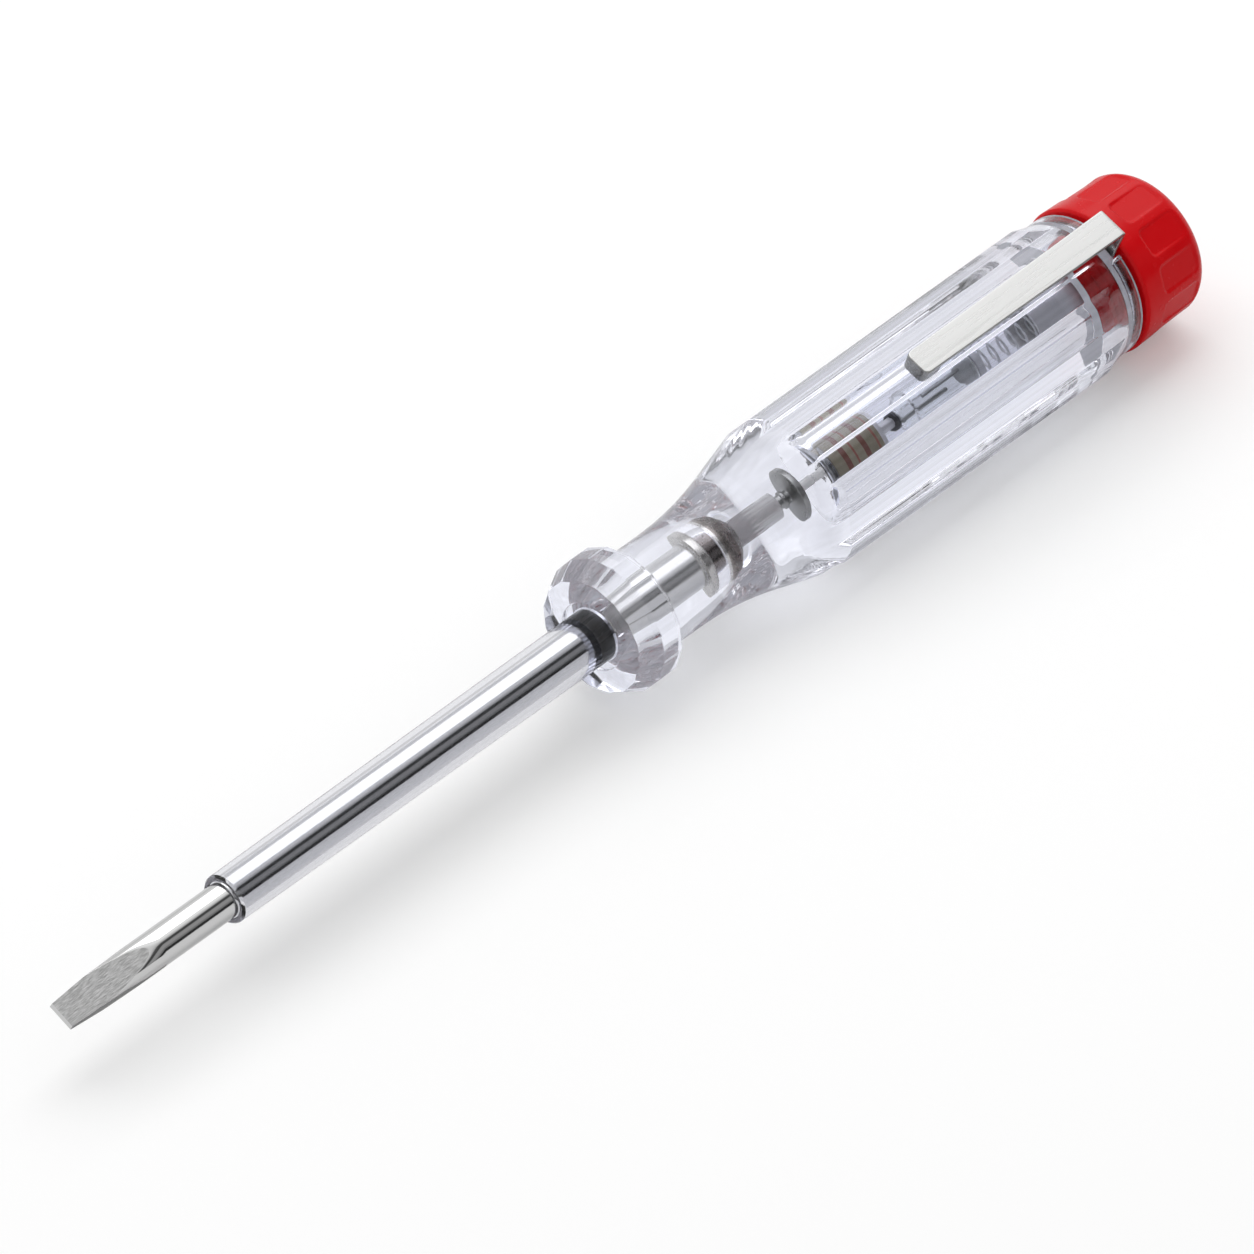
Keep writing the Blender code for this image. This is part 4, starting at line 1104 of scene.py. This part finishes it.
class TESTER_OT_stage(bpy.types.Operator):
    """Set the camera, the long soft lamp, the pale floor and the cards that the metal reflects"""

    bl_idname = "tester.stage"
    bl_label = "Studio Stage"

    AZIMUTH = math.radians(-47.2)
    ELEVATION = math.radians(36.5)
    ROLL = math.radians(2.9)
    PIXELS = 1254
    PIXELS_PER_METRE = 11430.0
    MIDDLE_PIXEL = (610.8, 623.0)
    LENS = 1400.0

    def camera(self, context):
        a, e = self.AZIMUTH, self.ELEVATION
        back = Vector((math.sin(a) * math.cos(e), -math.cos(a) * math.cos(e), math.sin(e)))
        right = (-back).cross(Vector((0.0, 0.0, 1.0))).normalized()
        up = right.cross(-back)
        right, up = (
            right * math.cos(self.ROLL) - up * math.sin(self.ROLL),
            right * math.sin(self.ROLL) + up * math.cos(self.ROLL),
        )
        data = bpy.data.cameras.new("photo_camera")
        data.lens = self.LENS
        data.clip_end = 20.0
        distance = self.PIXELS * data.lens / data.sensor_width / self.PIXELS_PER_METRE
        middle = Vector((TIP + 72.5 * MM, 0.0, AXIS))
        aside = (self.PIXELS / 2 - self.MIDDLE_PIXEL[0]) / self.PIXELS_PER_METRE
        above = (self.MIDDLE_PIXEL[1] - self.PIXELS / 2) / self.PIXELS_PER_METRE
        camera = bpy.data.objects.new("photo_camera", data)
        turn = Matrix((right, up, back)).transposed().to_4x4()
        camera.matrix_world = Matrix.Translation(middle + right * aside + up * above + back * distance) @ turn
        context.scene.collection.objects.link(camera)
        context.scene.camera = camera

    def lamp(self, context, name, place, size, power):
        """Long soft panel that faces the tool from across its axis."""
        data = bpy.data.lights.new(name, "AREA")
        data.shape = "RECTANGLE"
        data.size, data.size_y = size
        data.energy = power
        lamp = bpy.data.objects.new(name, data)
        lamp.location = place
        lamp.rotation_euler.x = -math.atan2(place[1], place[2])
        lamp.visible_camera = False
        context.scene.collection.objects.link(lamp)

    def seen_rays(self, tree, *kinds):
        """One for rays of the given kinds, and zero for the rest."""
        rays = tree.nodes.new("ShaderNodeLightPath")
        total = rays.outputs[kinds[0]]
        for kind in kinds[1:]:
            most = tree.nodes.new("ShaderNodeMath")
            most.operation = "MAXIMUM"
            tree.links.new(total, most.inputs[0])
            tree.links.new(rays.outputs[kind], most.inputs[1])
            total = most.outputs["Value"]
        return total

    def world(self, context):
        world = bpy.data.worlds.new("studio")
        context.scene.world = world
        world.use_nodes = True
        tree = world.node_tree
        background = tree.nodes["Background"]
        background.inputs["Color"].default_value = (1.0, 1.0, 1.0, 1.0)
        seen = self.seen_rays(tree, "Is Camera Ray", "Is Glossy Ray", "Is Transmission Ray")
        tree.links.new(vary(tree, seen, 0.6, 1.0, 0.0, 1.0), background.inputs["Strength"])

    def floor(self, context):
        clear_selection()
        bpy.ops.mesh.primitive_plane_add(size=6.0)
        floor = bpy.context.object
        floor.name = "floor"
        material = bpy.data.materials.new("pale_floor")
        material.use_nodes = True
        tree = material.node_tree
        tree.nodes.remove(tree.nodes["Principled BSDF"])
        paper = tree.nodes.new("ShaderNodeBsdfDiffuse")
        paper.inputs["Color"].default_value = (0.75, 0.75, 0.75, 1.0)
        glow = tree.nodes.new("ShaderNodeEmission")
        lift = vary(tree, self.seen_rays(tree, "Is Camera Ray", "Is Transmission Ray"), 0.0, 0.24, 0.0, 1.0)
        tree.links.new(lift, glow.inputs["Strength"])
        both = tree.nodes.new("ShaderNodeAddShader")
        tree.links.new(paper.outputs["BSDF"], both.inputs[0])
        tree.links.new(glow.outputs["Emission"], both.inputs[1])
        white = tree.nodes.new("ShaderNodeEmission")
        through = tree.nodes.new("ShaderNodeMixShader")
        share = vary(tree, self.seen_rays(tree, "Is Transmission Ray"), 0.0, 0.5, 0.0, 1.0)
        tree.links.new(share, through.inputs["Fac"])
        tree.links.new(both.outputs["Shader"], through.inputs[1])
        tree.links.new(white.outputs["Emission"], through.inputs[2])
        tree.links.new(through.outputs["Shader"], tree.nodes["Material Output"].inputs["Surface"])
        floor.data.materials.append(material)

    def card(self, name, aside, low, high, levels):
        """Standing card along the tool, in grey steps of (height, level), that only mirrors and clear pieces see."""
        clear_selection()
        bpy.ops.mesh.primitive_plane_add(
            size=1.0, location=(0.7, aside, (low + high) / 2), rotation=(math.pi / 2, 0.0, 0.0)
        )
        card = bpy.context.object
        card.name = name
        card.scale = (1.6, high - low, 1.0)
        settle()
        material = bpy.data.materials.new(name)
        material.use_nodes = True
        tree = material.node_tree
        tree.nodes.remove(tree.nodes["Principled BSDF"])
        place = tree.nodes.new("ShaderNodeTexCoord")
        split = tree.nodes.new("ShaderNodeSeparateXYZ")
        ramp = tree.nodes.new("ShaderNodeValToRGB")
        for stop, (height, level) in enumerate(levels):
            share = (height - low) / (high - low)
            entry = ramp.color_ramp.elements[stop] if stop < 2 else ramp.color_ramp.elements.new(share)
            entry.position = share
            entry.color = (level, level, level, 1.0)
        glow = tree.nodes.new("ShaderNodeEmission")
        tree.links.new(place.outputs["Object"], split.inputs["Vector"])
        tree.links.new(vary(tree, split.outputs["Z"], 0.0, 1.0, low, high), ramp.inputs["Fac"])
        tree.links.new(ramp.outputs["Color"], glow.inputs["Color"])
        tree.links.new(glow.outputs["Emission"], tree.nodes["Material Output"].inputs["Surface"])
        card.data.materials.append(material)
        card.visible_camera = False
        card.visible_diffuse = False
        card.visible_shadow = False

    def execute(self, context):
        context.scene.view_settings.view_transform = "Standard"
        context.scene.cycles.max_bounces = 64
        context.scene.cycles.glossy_bounces = 48
        context.scene.cycles.transmission_bounces = 64
        self.camera(context)
        self.world(context)
        self.floor(context)
        self.lamp(context, "long_softbox", (0.3, 0.25, 0.6), (1.2, 0.68), 3.7)
        back = ((0.0, 0.66), (0.16, 0.74), (0.32, 0.88), (0.36, 1.0))
        front = (
            (0.0, 0.02), (0.13, 0.03), (0.15, 0.22), (0.23, 0.24), (0.24, 0.33), (0.47, 0.33), (0.49, 0.07),
            (0.78, 0.08), (0.86, 0.5), (1.1, 0.7), (1.6, 1.0),
        )
        self.card("back_card", 0.5, 0.0, 0.36, back)
        self.card("front_card", -0.5, 0.0, 1.6, front)
        return {"FINISHED"}


class TESTER_PT_panel(bpy.types.Panel):
    """List the pieces, their sizes and their colours"""

    bl_idname = "TESTER_PT_panel"
    bl_label = "Voltage Tester"
    bl_space_type = "VIEW_3D"
    bl_region_type = "UI"
    bl_category = "Tester"

    def draw(self, context):
        for operator in OPERATORS:
            self.layout.operator(operator.bl_idname)
        for group in (context.scene.tester_sizes, context.scene.tester_colours):
            box = self.layout.box()
            for name in group.__annotations__:
                box.prop(group, name)


OPERATORS = (TESTER_OT_stage, TESTER_OT_handle, TESTER_OT_blade, TESTER_OT_inside, TESTER_OT_cap, TESTER_OT_clip)
CLASSES = (TesterSizes, TesterColours, *OPERATORS, TESTER_PT_panel)


def register():
    for entry in CLASSES:
        bpy.utils.register_class(entry)
    bpy.types.Scene.tester_sizes = PointerProperty(type=TesterSizes)
    bpy.types.Scene.tester_colours = PointerProperty(type=TesterColours)


def unregister():
    del bpy.types.Scene.tester_colours
    del bpy.types.Scene.tester_sizes
    for entry in reversed(CLASSES):
        bpy.utils.unregister_class(entry)


def main():
    register()
    bpy.ops.tester.stage()
    bpy.ops.tester.handle()
    bpy.ops.tester.blade()
    bpy.ops.tester.inside()
    bpy.ops.tester.cap()
    bpy.ops.tester.clip()


if __name__ == "__main__":
    main()
